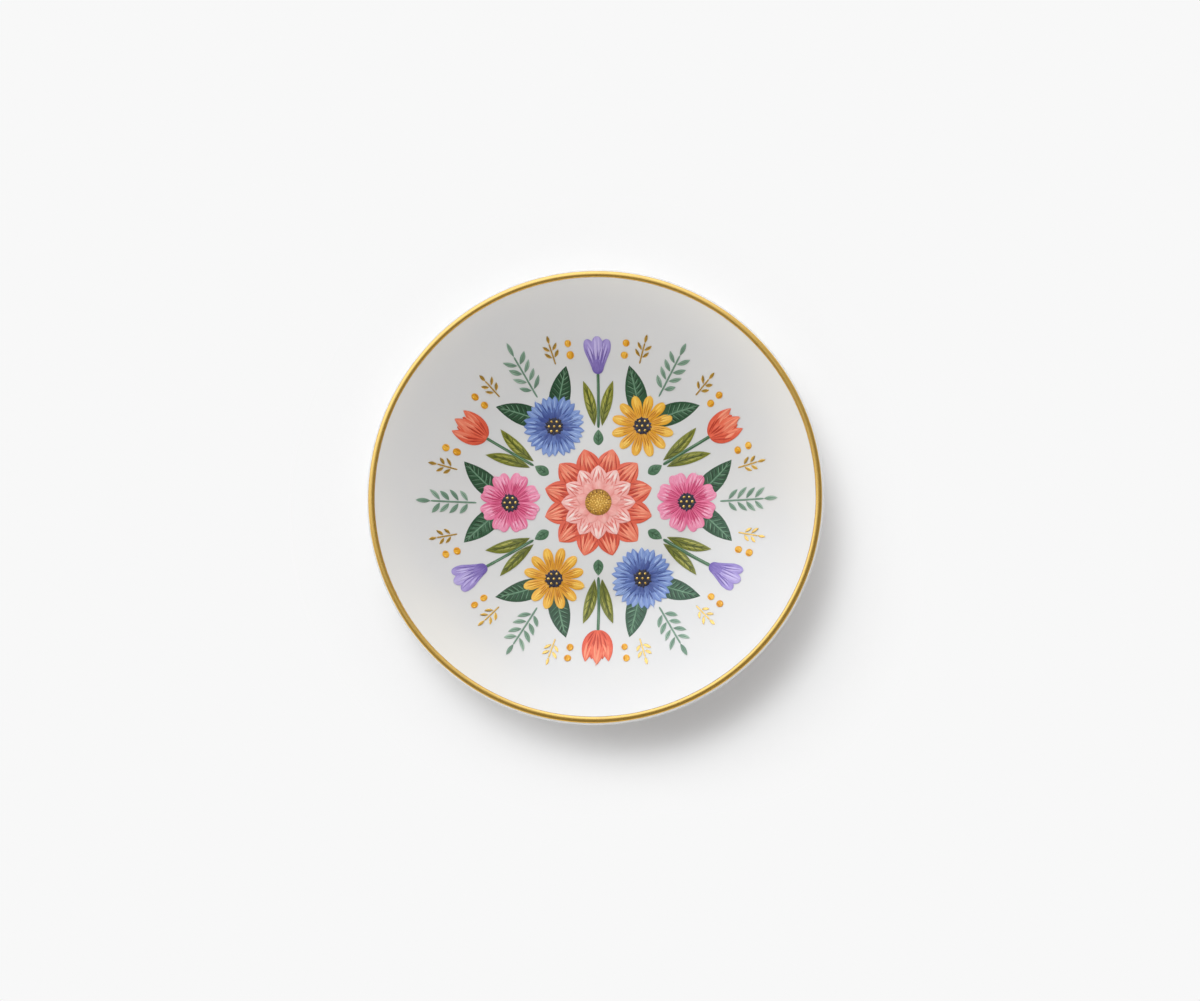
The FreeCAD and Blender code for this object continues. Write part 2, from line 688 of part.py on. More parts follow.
def draw_twigs(sketch):
    """A small twig on each side of a sprig."""
    for sign in ("", "-"):
        draw_sprig(sketch, f"({BLOOM_EDGE} + sizes.twig_rise)", f"{sign}sizes.twig_angle",
                   TWIG_PAIRS, "twig")


def draw_berries(sketch):
    """A short row of dots on each side of a sector, between the twigs and the heads."""
    for sign in ("", "-"):
        for count in range(BERRIES):
            out = f"{BLOOM_EDGE} + sizes.berry_rise + {count} * sizes.berry_spacing"
            draw_circle(sketch, polar(out, angle=f"{sign}sizes.berry_angle"), "sizes.berry_radius")


def fuse(name, pieces):
    """Several stencils as one cutter."""
    cutter = doc.addObject("Part::MultiFuse", name)
    cutter.Shapes = pieces
    return cutter


def make_dark_leaves(firing):
    """Broad leaves on both sides of each ring flower, cut back to clear flowers and stems."""
    stem_lane = (f"(2 * {LANCE_SIDE} + 2 * sizes.lance_leaf_length * sin{LANCE_ANGLE}"
                 " + sizes.lance_leaf_width)")
    fern_lane = ("(sizes.fern_stem_width + sizes.fern_leaflet_width + 2 * sizes.print_gap"
                 " + 2 * sizes.fern_leaflet_length * sin(sizes.fern_leaflet_angle * 1 deg))")
    clearance = fuse("dark_leaf_clearance", [
        make_stencil("bloom_clearance", draw_bloom_clearance, REPEATS),
        make_stencil("stem_lane", draw_lane(stem_lane, MID_SECTOR), REPEATS),
        make_stencil("fern_lane", draw_lane(fern_lane, 0), REPEATS)])
    both = fuse("dark_leaf_pairs", [make_stencil("dark_leaf_left", draw_dark_leaf(""), REPEATS),
                                    make_stencil("dark_leaf_right", draw_dark_leaf("-"), REPEATS)])
    layer = doc.addObject("Part::Common", "dark_leaf_layer")
    layer.Base = both
    layer.Tool = firing
    leaves = doc.addObject("Part::Cut", "dark_leaves")
    leaves.Base = layer
    leaves.Tool = clearance
    return leaves


def make_rosette():
    """All enamels: grounds and leaves in the first firing, details in the two that follow."""
    first, second, third = [make_firing(order) for order in range(3)]
    kind = REPEATS // BLOOM_KINDS
    head = REPEATS // HEAD_KINDS
    return [
        make_enamel("dahlia_outer_petals", first, draw_dahlia_outer),
        make_enamel("dahlia_inner_petals", second, draw_dahlia_inner),
        make_enamel("dahlia_heart", third, draw_heart),
        make_enamel("pink_cosmos", first, draw_cosmos, kind),
        make_enamel("yellow_daisies", first, draw_daisy, kind),
        make_enamel("blue_cornflowers", first, draw_cornflower, kind),
        make_enamel("bloom_eyes", second, draw_eye, REPEATS),
        make_enamel("gold_stamens", third, draw_stamens, REPEATS),
        make_enamel("coral_tulips", first, draw_tulip, head),
        make_enamel("lilac_bellflowers", first, draw_bellflower, head),
        make_enamel("flower_stems", first, draw_stem, REPEATS),
        make_enamel("collar_leaves", first, draw_collar_leaf, REPEATS),
        make_enamel("lance_leaves", first, draw_lance_leaves, REPEATS),
        make_dark_leaves(first),
        make_enamel("fern_sprigs", first, draw_fern, REPEATS),
        make_enamel("gold_twigs", first, draw_twigs, REPEATS),
        make_enamel("ochre_berries", first, draw_berries, REPEATS),
    ]


def check(pieces):
    """Stops if any object failed to rebuild or a piece is empty or not a sound solid."""
    failed = [item.Label for item in doc.Objects
              if "Invalid" in item.State or "Error" in item.State]
    loose = [item.Label for item in doc.Objects
             if item.isDerivedFrom("Sketcher::SketchObject") and not item.FullyConstrained]
    unsound = [piece.Label for piece in pieces
               if piece.Shape.isNull() or not piece.Shape.isValid() or not piece.Shape.Solids]
    if failed or loose or unsound:
        raise RuntimeError(f"failed: {failed}, not fully drawn: {loose}, unsound: {unsound}")


def export(pieces):
    """Writes each piece to a file of its own name."""
    os.makedirs("parts", exist_ok=True)
    for piece in pieces:
        piece.Shape.exportStep(f"parts/{piece.Label}.step")
        print(f"{piece.Label}: {len(piece.Shape.Solids)} solids, {piece.Shape.Volume:.2f} mm3")


dish_pieces = [
    make_porcelain_body(),
    make_turned("glaze_coat", draw_glaze_section),
    make_turned("base_glaze", draw_base_glaze_section),
    make_gold_rim_band(),
    *make_rosette(),
]
doc.recompute()
check(dish_pieces)
export(dish_pieces)
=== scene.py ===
"""Glaze, gilding and hand-painted enamels for a small porcelain ring dish.

Metres, in the part's own frame: +Z is up and the origin is the middle of the plane that the foot ring
stands on. The dish is turned from one section. The painting is made of strokes: thin closed lenses of
enamel that lie on the glaze, each a function of the way along the brush mark and the way round it.
"""
import math
from types import SimpleNamespace

import bpy
import numpy as np
from bpy.props import FloatProperty, FloatVectorProperty, PointerProperty
from mathutils import Matrix, Vector


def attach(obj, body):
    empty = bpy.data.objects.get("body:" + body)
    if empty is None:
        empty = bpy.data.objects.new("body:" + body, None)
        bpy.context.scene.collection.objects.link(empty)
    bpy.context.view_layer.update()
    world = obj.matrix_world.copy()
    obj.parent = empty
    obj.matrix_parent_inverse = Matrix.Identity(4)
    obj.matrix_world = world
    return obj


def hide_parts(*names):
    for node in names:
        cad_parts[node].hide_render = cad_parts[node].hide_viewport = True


bl_info = {
    "name": "Ring dish",
    "version": (1, 0, 0),
    "blender": (4, 5, 0),
    "location": "View3D > Sidebar > Ring dish",
    "description": "Glazes, gilds and paints a small porcelain dish",
    "category": "Add Mesh",
}

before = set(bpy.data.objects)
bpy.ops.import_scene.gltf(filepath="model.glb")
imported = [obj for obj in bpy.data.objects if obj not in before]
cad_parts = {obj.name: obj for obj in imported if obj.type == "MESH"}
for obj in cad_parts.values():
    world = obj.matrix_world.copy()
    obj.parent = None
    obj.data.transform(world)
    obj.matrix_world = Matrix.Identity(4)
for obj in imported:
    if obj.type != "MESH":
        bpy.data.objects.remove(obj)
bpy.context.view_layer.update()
BODY = "root"
STROKE_MAP = "stroke"
TONE = "tone"
WHITE = (1.0, 1.0, 1.0, 1.0)
QUARTER = math.pi / 2
DISH_CENTRE = (np.zeros(1), np.zeros(1), np.zeros(1))
CREASE = math.radians(40)
MILLIMETRES = 1000

# Points on each run of the dish's section, and steps round the turned pieces.
POINTS = {"floor": 9, "well": 17, "wall": 21, "lip": 25, "outer": 23, "fillet": 9, "ceiling": 7,
          "foot": 7, "gold": 13}
DISH_STEPS = 192
RECESS_STEPS = 160
LIP_STEPS = 384
# The share of the well circle's radius within which heights are read from it.
WELL_REACH = 0.9

# The glaze's wiped edge on the foot: how far it hangs, how far it wanders, and the waves of that.
# A wave is (waves round the dish, height, phase).
EDGE_HANG = 0.00006
EDGE_WANDER = 0.00009
EDGE_WAVES = ((3, 0.5, 0.7), (11, 0.3, 0.0), (29, 0.2, 0.0))

# The gilt line: the waves of its two edges, how deep it sits in the glaze, its tone, and how its
# brush map runs along and across it, in millimetres.
OUTER_WAVES = ((5, 1.0, 1.1), (13, 0.7, 0.0), (31, 0.5, 2.0))
INNER_WAVES = ((4, 1.0, 0.0), (11, 0.7, 0.5), (37, 0.5, 0.0))
GOLD_TUCK = 0.00002
GOLD_TONE = 0.62
GOLD_ALONG = 0.35
GOLD_ACROSS = 1.5

# A stroke's lens: stations along it, points over its top, and the shares across of those beneath.
FINE_LENS = (18, 9, (0.5, -0.5))
PLAIN_LENS = (6, 4, (0.0,))
EDGE_CROWDING = 0.7
UNDERSIDE = -0.6
RIM_BALANCE = 0.4
# Neighbours differ in height by steps of the golden ratio, within this share of a coat.
STAGGER = 0.4
GOLDEN = 0.618
# How far apart strokes may lie on the grain, in millimetres.
GRAIN_SPREAD = 40
# Coats between a petal and the light strokes on it.
LIGHT_COATS = 1.6

# The room: between which cosines of the angle to its middle each light fades in.
WALL_FADE = (0.27, 0.5)
SIDE_FADE = (0.35, 0.95)
DIM_FADE = (0.4, 0.8)
CARD_FADE = (0.5, 0.86)
# The lamp is a nest of discs, these shares of its size across, each a little nearer than the last.
LAMP_NEST = (1.0, 0.7, 0.42)
NEST_GAP = 0.01
# The paper: half its width, between which radii the backdrop fades in round the dish and round the
# patch of shade, and how far out that patch lies.
PAPER_HALF = 3.0
DISH_FADE = (0.044, 0.071)
SHADE_FADE = (0.0276, 0.0515)
SHADE_OUT = 0.0283
SENSOR = 36
NEAREST = 0.01


def srgb(red, green, blue):
    """A colour written in the usual 0 to 255 steps, as linear light."""
    steps = np.array((red, green, blue)) / 255
    return tuple(np.where(steps <= 0.04045, steps / 12.92, ((steps + 0.055) / 1.055) ** 2.4))


def size(name, description, default):
    """A length that the user can set."""
    return FloatProperty(name=name, description=description, default=default, min=0,
                         subtype="DISTANCE", unit="LENGTH", precision=5)


def turn(name, description, degrees):
    """An angle that the user can set."""
    return FloatProperty(name=name, description=description, default=math.radians(degrees),
                         subtype="ANGLE", unit="ROTATION")


def share(name, description, default, top=1.0):
    """A plain factor that the user can set."""
    return FloatProperty(name=name, description=description, default=default, min=0, max=top,
                         subtype="FACTOR")


def colour(name, description, default):
    """A colour that the user can set."""
    return FloatVectorProperty(name=name, description=description, default=default, min=0, max=1,
                               subtype="COLOR", size=3)


class DishSizes(bpy.types.PropertyGroup):
    """The turned dish and the coats on it."""
    rim_diameter: size("Rim", "Across the bisque lip", 0.1015)
    dish_height: size("Height", "From the table to the top of the bisque lip", 0.0198)
    lip_thickness: size("Lip", "Thickness of the bisque lip", 0.0018)
    wall_run: size("Wall run", "From the edge of the flat floor out to the lip", 0.02885)
    well_curve: size("Well curve", "Radius of the curve between floor and wall", 0.022)
    wall_curve: size("Wall curve", "Radius of the wall's inner side", 0.085)
    outer_curve: size("Outer curve", "Radius of the wall's outer side", 0.1)
    floor_thickness: size("Floor", "Bisque between the well and the recess", 0.0032)
    foot_step: size("Foot step", "From the edge of the floor out to the foot", 0.0065)
    foot_width: size("Foot width", "Thickness of the foot ring", 0.003)
    foot_height: size("Foot height", "Where the foot's outer fillet begins", 0.0015)
    foot_fillet: size("Foot fillet", "Radius between foot and outer wall", 0.0012)
    foot_round: size("Foot edges", "Radius of the foot's standing edges", 0.0004)
    recess_depth: size("Recess", "From the table up to the recess ceiling", 0.0022)
    recess_fillet: size("Recess fillet", "Radius inside the foot ring", 0.0009)
    glaze: size("Glaze", "Thickness of the glaze", 0.00025)
    bare_foot: size("Bare foot", "Height of the foot that is wiped clean of glaze", 0.0007)
    gold: size("Gold", "Thickness of the gilt line", 0.00012)
    gold_outside: turn("Gold outside", "How far the gilding comes down outside the lip", 43)
    gold_inside: turn("Gold inside", "How far the gilding comes down inside the lip", 37)
    gold_wander: turn("Gold wander", "How far the gilder's brush strays", 2.0)


class PaintSizes(bpy.types.PropertyGroup):
    """The painted rosette."""
    dahlia: size("Dahlia", "Radius of the middle flower", 0.0125)
    dahlia_inner: size("Inner petals", "Radius of the middle flower's lighter petals", 0.0084)
    heart: size("Heart", "Radius of the middle flower's heart", 0.003)
    bloom_ring: size("Bloom ring", "Radius that the six flowers stand on", 0.02)
    bloom: size("Bloom", "Radius of each of the six flowers", 0.007)
    eye: size("Eye", "Radius of a flower's dark eye", 0.002)
    stamen: size("Stamen", "Radius of a gold dot", 0.00028)
    collar: size("Collar leaves", "Where the small leaves begin", 0.013)
    stem_start: size("Stem start", "Where the stems begin", 0.0169)
    head_base: size("Heads", "Where the flower heads begin", 0.02909)
    head: size("Head length", "Length of a flower head", 0.008)
    dark_leaf: size("Dark leaf", "Length of a dark leaf from its flower's middle", 0.0138)
    fern_base: size("Fern", "Where the ferns begin", 0.0275)
    twig_base: size("Twig", "Where the gold twigs begin", 0.0325)
    berry_base: size("Berries", "Radius of the inner berries", 0.0336)
    coat: size("Coat", "Thickness of one coat of enamel", 0.00004)


# Each enamel: what it paints, and its three shades.
ENAMELS = {
    "coral": ("coral petals", (186, 54, 36), (229, 97, 70), (246, 156, 126)),
    "salmon": ("salmon petals", (220, 104, 96), (243, 170, 164), (253, 224, 218)),
    "pink": ("pink petals", (190, 44, 98), (228, 100, 146), (248, 176, 204)),
    "yellow": ("yellow petals", (192, 118, 14), (229, 163, 30), (250, 204, 92)),
    "ochre": ("heart of the middle flower", (120, 74, 14), (196, 142, 36), (244, 206, 110)),
    "blue": ("blue petals", (50, 70, 140), (102, 130, 196), (158, 182, 228)),
    "navy": ("eyes of the flowers", (18, 17, 32), (38, 40, 70), (74, 80, 120)),
    "lilac": ("bells", (108, 88, 168), (158, 142, 208), (202, 190, 236)),
    "leaf_green": ("stems and small leaves", (34, 76, 50), (70, 112, 82), (128, 160, 130)),
    "olive": ("narrow leaves", (70, 80, 22), (116, 122, 38), (170, 168, 78)),
    "dark_green": ("broad leaves", (20, 48, 34), (40, 82, 58), (116, 156, 128)),
    "sage": ("ferns", (78, 114, 96), (124, 156, 136), (178, 200, 184)),
}
SHADES = {"deep": "Shade in the", "body": "Most of the", "light": "Lights on the"}


def with_enamels(group):
    """Adds the shades of every enamel to a group of colours."""
    for enamel_name, (painted, *tints) in ENAMELS.items():
        label = enamel_name.replace("_", " ").capitalize()
        for (shade, part), tint in zip(SHADES.items(), tints):
            group.__annotations__[f"{enamel_name}_{shade}"] = colour(
                f"{label}, {shade}", f"{part} {painted}", srgb(*tint))
    return group


@with_enamels
class PaintColours(bpy.types.PropertyGroup):
    """The glaze, the gold and the enamels."""
    glaze: colour("Glaze", "Fired white glaze", (0.73, 0.73, 0.729))
    bisque: colour("Bisque", "Bare porcelain of the foot", srgb(229, 222, 210))
    gold: colour("Gold", "Burnished gilding", (0.58, 0.385, 0.095))
    gold_deep: colour("Thin gold", "Gilding where the brush ran dry", (0.42, 0.255, 0.045))


class StudioSettings(bpy.types.PropertyGroup):
    """Camera, lamps and floor."""
    lens: size("Lens", "Focal length", 0.1211)
    distance: size("Distance", "From the camera to what it looks at", 0.9)
    aim: FloatVectorProperty(name="Aim", description="The point in the middle of the picture",
                             default=(0.00113, -0.0009, 0.018), subtype="TRANSLATION",
                             unit="LENGTH", size=3)
    view_from: FloatVectorProperty(name="View from", description="Direction towards the camera",
                                   default=(0.061, -0.106, 0.9925), subtype="DIRECTION", size=3)
    lamp_height: turn("Lamp height", "How high the soft lamp stands", 67)
    lamp_side: turn("Lamp side", "Which side the soft lamp stands on, from +X", 118)
    lamp_distance: size("Lamp distance", "From the dish to the soft lamp", 6.0)
    lamp_size: size("Lamp size", "Across the soft lamp", 5.4)
    lamp_power: FloatProperty(name="Lamp power", description="Power of the soft lamp", default=219.0,
                              min=0, subtype="POWER", unit="POWER")
    room_light: share("Room light", "Light from the upper part of the room", 0.13, 4.0)
    wall_light: share("Wall light", "Light from the pale walls low down all round", 1.7, 4.0)
    dim_side: turn("Dim side", "Which side the walls are darker on, from +X", 5)
    dim_height: turn("Dim height", "How high the middle of the darker side lies", -35)
    dim_share: share("Dim share", "How much light the walls keep on their darker side", 0.15)
    side_light: share("Side light", "Light from the bright side of the room", 0.4, 4.0)
    side_height: turn("Side height", "How high the bright side of the room is", 28)
    side: turn("Side", "Which side of the room is bright, from +X", 80)
    sky: colour("Room colour", "Tint of the room's own light", (1.0, 0.975, 0.96))
    lamp: colour("Lamp colour", "Tint of the soft lamp", (0.97, 0.99, 1.0))
    room_shine: share("Room shine", "What shiny surfaces see of the rest of the room", 0.4, 4.0)
    room_tint: colour("Room tint", "Colour of the room in shiny surfaces", (1.0, 0.86, 0.5))
    card_tint: colour("Card tint", "Colour of the card in shiny surfaces", (0.93, 0.97, 1.0))
    card_height: turn("Card height", "How high the middle of the white card stands", 30)
    card_light: share("Card light", "What shiny surfaces see of the white card beside the dish", 2.1, 4.0)
    shade_side: turn("Shade side", "Which side of the dish the paper keeps its shade on, from +X", 319)
    floor: colour("Floor", "Pale paper under the dish", (0.92, 0.92, 0.92))
    backdrop: share("Backdrop", "How bright the paper looks away from the dish", 0.939)


def dish_curves(sizes):
    """The centres, radii and slopes of the dish's section, from its sizes.

    The well, wall and lip touch without a corner, so their centres form a triangle with known sides
    and the cosine rule gives the slopes where they meet. The outer wall touches the lip from outside
    and the foot's fillet from inside, so its centre lies at known distances from both of theirs.
    """
    dish = SimpleNamespace(sizes=sizes)
    dish.lip_radius = sizes.lip_thickness / 2
    dish.lip = np.array((sizes.rim_diameter / 2, sizes.dish_height)) - dish.lip_radius
    dish.floor_radius = dish.lip[0] - sizes.wall_run
    dish.floor_level = sizes.recess_depth + sizes.floor_thickness
    dish.foot_outer = dish.floor_radius + sizes.foot_step
    dish.foot_inner = dish.foot_outer - sizes.foot_width
    dish.well = np.array((dish.floor_radius, dish.floor_level + sizes.well_curve))
    near = sizes.wall_curve - sizes.well_curve
    far = sizes.wall_curve + dish.lip_radius
    reach, rise = dish.lip - dish.well
    bend = math.acos((near**2 + far**2 - reach**2 - rise**2) / (2 * near * far))
    slant = math.atan2(near - far * math.cos(bend), far * math.sin(bend))
    dish.well_slope = math.atan2(rise, reach) - slant
    dish.lip_slope = dish.well_slope + bend
    dish.wall = dish.well + near * np.array((-math.sin(dish.well_slope), math.cos(dish.well_slope)))
    dish.corner = np.array((dish.foot_outer + sizes.foot_fillet, sizes.foot_height))
    to_lip = sizes.outer_curve - dish.lip_radius
    to_corner = sizes.outer_curve + sizes.foot_fillet
    span = dish.corner - dish.lip
    gap = np.hypot(*span)
    along = (to_lip**2 - to_corner**2 + gap**2) / (2 * gap)
    aside = math.sqrt(to_lip**2 - along**2)
    dish.outer = dish.lip + span / gap * along + np.array((span[1], -span[0])) / gap * aside
    dish.lip_way = math.atan2(*(dish.lip - dish.outer)[::-1])
    dish.foot_way = math.atan2(*(dish.corner - dish.outer)[::-1])
    return dish


def arc(centre, radius, start, end, run):
    """Points of an arc: the centre plus the radius times cosine and sine of even steps of angle."""
    angle = np.linspace(start, end, POINTS[run])
    return centre + radius * np.stack((np.cos(angle), np.sin(angle)), axis=1)


def level_run(start, end, height, run):
    """Points of a straight level run: even steps of radius at one height."""
    count = POINTS[run]
    return np.stack((np.linspace(start, end, count), np.full(count, height)), axis=1)


def upper_line(curves, lift):
    """The section's line from the axis over floor, well, wall and lip down to the foot's side."""
    sizes = curves.sizes
    floor = level_run(0, curves.floor_radius, curves.floor_level + lift, "floor")
    well = arc(curves.well, sizes.well_curve - lift, -QUARTER, curves.well_slope - QUARTER, "well")
    wall = arc(curves.wall, sizes.wall_curve - lift, curves.well_slope - QUARTER,
               curves.lip_slope - QUARTER, "wall")
    lip = arc(curves.lip, curves.lip_radius + lift, curves.lip_slope + QUARTER, curves.lip_way, "lip")
    outer = arc(curves.outer, sizes.outer_curve + lift, curves.lip_way, curves.foot_way, "outer")
    fillet = arc(curves.corner, sizes.foot_fillet - lift, curves.foot_way + math.pi, math.pi, "fillet")
    side = np.array(((curves.foot_outer + lift, sizes.bare_foot),))
    return np.concatenate((floor, well[1:], wall[1:], lip[1:], outer[1:], fillet[1:], side))


def recess_line(curves, lift):
    """The section's line from the foot's inner side over the recess fillet to the axis."""
    sizes = curves.sizes
    inner = curves.foot_inner - lift
    radius = sizes.recess_fillet - lift
    level = sizes.recess_depth - lift
    side = np.array(((inner, sizes.bare_foot),))
    fillet = arc(np.array((inner - radius, level - radius)), radius, 0, QUARTER, "fillet")
    return np.concatenate((side, fillet, level_run(inner - radius, 0, level, "ceiling")[1:]))


def glaze_height(curves, radius, lift):
    """Height of the glazed well at a distance from the axis, a lift above the glaze.

    Flat on the floor, then the lower half of the well circle, then of the wall circle, each drawn
    in by the lift, so that the lift is measured square to the surface.
    """
    sizes = curves.sizes
    lift = lift + sizes.glaze
    well_radius = sizes.well_curve - lift
    wall_radius = sizes.wall_curve - lift
    join = curves.floor_radius + well_radius * math.sin(curves.well_slope)
    well_reach = np.clip(radius - curves.well[0], 0, WELL_REACH * well_radius)
    well = curves.well[1] - np.sqrt(well_radius**2 - well_reach**2)
    wall = curves.wall[1] - np.sqrt(wall_radius**2 - (radius - curves.wall[0]) ** 2)
    return np.where(radius < join, well, wall)


def waves(angle, parts, start=0.0):
    """A start plus sine waves of an angle, each (waves round, height, phase)."""
    return sum((height * np.sin(count * angle + phase) for count, height, phase in parts), start)


def turned_surface(section, steps, wander=None):
    """A section of (radius, height), which starts and ends on the axis, carried round it.

    x = r cos a, y = r sin a, z = h, plus a wandering height of the angle and the place on the
    section if one is given. Both ends of the section become poles.
    """
    angle = 2 * math.pi * np.arange(steps)[:, None] / steps
    radius, height = section[1:-1].T
    between = len(radius)
    if wander is not None:
        height = height + wander(angle, np.arange(1, between + 1))
    points = np.stack(np.broadcast_arrays(radius * np.cos(angle), radius * np.sin(angle), height), axis=2)
    poles = np.stack((np.zeros(2), np.zeros(2), section[[0, -1], 1]), axis=1)
    index = np.arange(steps * between).reshape(steps, between)
    after = np.roll(index, -1, axis=0)
    first = np.full(steps, steps * between)
    quads = np.stack((index[:, :-1], after[:, :-1], after[:, 1:], index[:, 1:]), axis=2)
    faces = [quads.reshape(-1, 4), np.stack((first, after[:, 0], index[:, 0]), axis=1),
             np.stack((index[:, -1], after[:, -1], first + 1), axis=1)]
    return np.concatenate((points.reshape(-1, 3), poles)), faces


def glaze_shell(first, second, steps):
    """A coat of glaze between two lines of the section, which meet in its edge on the foot.

    The edge hangs down a little, and rises and falls where the sponge went round.
    """
    edge = (first[-1] + second[0]) / 2 - (0, EDGE_HANG)
    edge_places = len(first) + np.array((-1, 0, 1))

    def wiped(angle, place):
        return EDGE_WANDER * waves(angle, EDGE_WAVES, 1) * np.isin(place, edge_places)

    return turned_surface(np.concatenate((first, edge[None], second)), steps, wiped)


def leaf_outline(u):
    """Half width of a leaf with a point at both ends: a parabola."""
    return 4 * u * (1 - u)


def petal_outline(u):
    """Half width of a pointed petal that is broadest two thirds of the way along."""
    return np.sin(np.pi * u**1.45) ** 0.85


def paddle_outline(u):
    """Half width of a petal that starts round, widens from a narrow foot and ends round."""
    widening = 0.35 + 0.65 * np.clip(u / 0.7, 0, 1) ** 0.8
    end = np.sqrt(1 - np.clip(u / 0.72 - 0.39, 0, 1) ** 4)
    return widening * end * np.clip(u / 0.06, 0, 1) ** 0.5


def cup_outline(u):
    """Half width of a petal that is broadest below its middle and runs out to a point."""
    return np.sin(np.pi * u**0.8) ** 0.8


def dot_outline(u):
    """Half width of a round dab."""
    return np.sqrt(np.clip(1 - (2 * u - 1) ** 2, 0, 1))


def bar_outline(u):
    """Half width of a line with round ends."""
    return np.clip(np.minimum(u, 1 - u) / 0.04, 0, 1) ** 0.5


class Strokes:
    """A batch of brush marks of one outline, each value an array with one entry for each mark.

    x, y is where the brush comes down, heading the mean way that it goes, bend how much it turns on
    the way, lift the height over the glaze, tone the shade from 0, deep, to 1, light, with a fade
    along the mark and a rim towards its edges.
    """
    FIELDS = {"x": 0.0, "y": 0.0, "heading": 0.0, "length": 0.001, "width": 0.0005, "bend": 0.0,
              "lift": 0.0, "coat": 0.00004, "tone": 0.5, "fade": 0.0, "rim": 0.0}

    def __init__(self, outline, fine=False, **values):
        self.outline = outline
        self.fine = fine
        filled = np.broadcast_arrays(*[np.asarray(values.get(field, default), dtype=float)
                                       for field, default in self.FIELDS.items()])
        for field, value in zip(self.FIELDS, filled):
            setattr(self, field, value.ravel().copy())

    def vary(self, rng, **amounts):
        """Lets a hand shake: adds a normal scatter to fields, relative for length and width."""
        for field, amount in amounts.items():
            scatter = amount * np.clip(rng.normal(size=len(self.x)), -2, 2)
            value = getattr(self, field)
            setattr(self, field, value * (1 + scatter) if field in ("length", "width")
                    else value + scatter)

    def spot(self, u, across):
        """Points at shares along and across each mark.

        The brush turns evenly, so the way from its start is a chord of a circle: length times u
        times sin(q) / q, in the starting heading plus q, where q is half the turn so far.
        """
        start = (self.heading - self.bend / 2)[:, None]
        half_turn = self.bend[:, None] * u / 2
        chord = self.length[:, None] * u * np.sinc(half_turn / np.pi)
        heading = start + 2 * half_turn
        side = self.width[:, None] / 2 * self.outline(u) * across
        return (self.x[:, None] + chord * np.cos(start + half_turn) - side * np.sin(heading),
                self.y[:, None] + chord * np.sin(start + half_turn) + side * np.cos(heading))

    def marks_on(self, lines, width, tone, above, bend=0.0, outline=leaf_outline):
        """Smaller marks on each mark, so far above it.

        Each line is (along, across, along, across): where it starts and ends, in shares of the mark.
        """
        lines = np.array(lines, dtype=float).T
        x, y = self.spot(*lines[:2])
        end_x, end_y = self.spot(*lines[2:])
        return Strokes(outline, x=x, y=y, heading=np.arctan2(end_y - y, end_x - x),
                       length=np.hypot(end_x - x, end_y - y), width=width, tone=tone,
                       bend=self.bend[:, None] * (lines[2] - lines[0]) + bend,
                       lift=self.lift[:, None] + above)


def around(spokes, out, aside=0.0, lean=0.0):
    """Places, as x, y and heading, at so far out and aside of each spoke (x, y, angle)."""
    x, y, angle = (np.asarray(value, dtype=float)[..., None] for value in spokes)
    out, aside, lean = np.broadcast_arrays(*[np.asarray(v, dtype=float) for v in (out, aside, lean)])
    return {"x": x + out * np.cos(angle) - aside * np.sin(angle),
            "y": y + out * np.sin(angle) + aside * np.cos(angle), "heading": angle + lean}


def spokes_of(count, turned=0.0, centres=DISH_CENTRE):
    """Evenly spaced spokes (x, y, angle) from each centre, which starts them along its own spoke."""
    x, y, facing = (value[:, None] for value in centres)
    angle = facing + math.radians(turned) + 2 * math.pi * np.arange(count) / count
    return [np.broadcast_to(value, angle.shape).ravel() for value in (x, y, angle)]


def spokes_beside(degrees):
    """Six spokes turned one way by an angle, then six turned the other way."""
    return [np.concatenate(pair) for pair in zip(spokes_of(6, degrees), spokes_of(6, -degrees))]


def blooms(paint, first, step):
    """The centres of the ring's flowers of one kind, with the angle of their spokes."""
    angle = np.radians(np.arange(first, 360, step))
    return paint.bloom_ring * np.cos(angle), paint.bloom_ring * np.sin(angle), angle


def feathered(along, across, end_along, end_across):
    """Lines in two rows, one on each side of a leaf's rib."""
    return np.concatenate([np.stack(np.broadcast_arrays(along, side * across, end_along, side * end_across),
                                    axis=1) for side in (1, -1)])


def staggered(count, low, step, cycle=2):
    """Heights for neighbours that overlap: a low one and steps above it, in turn."""
    return (low + step * (np.arange(count) % cycle))[:, None]


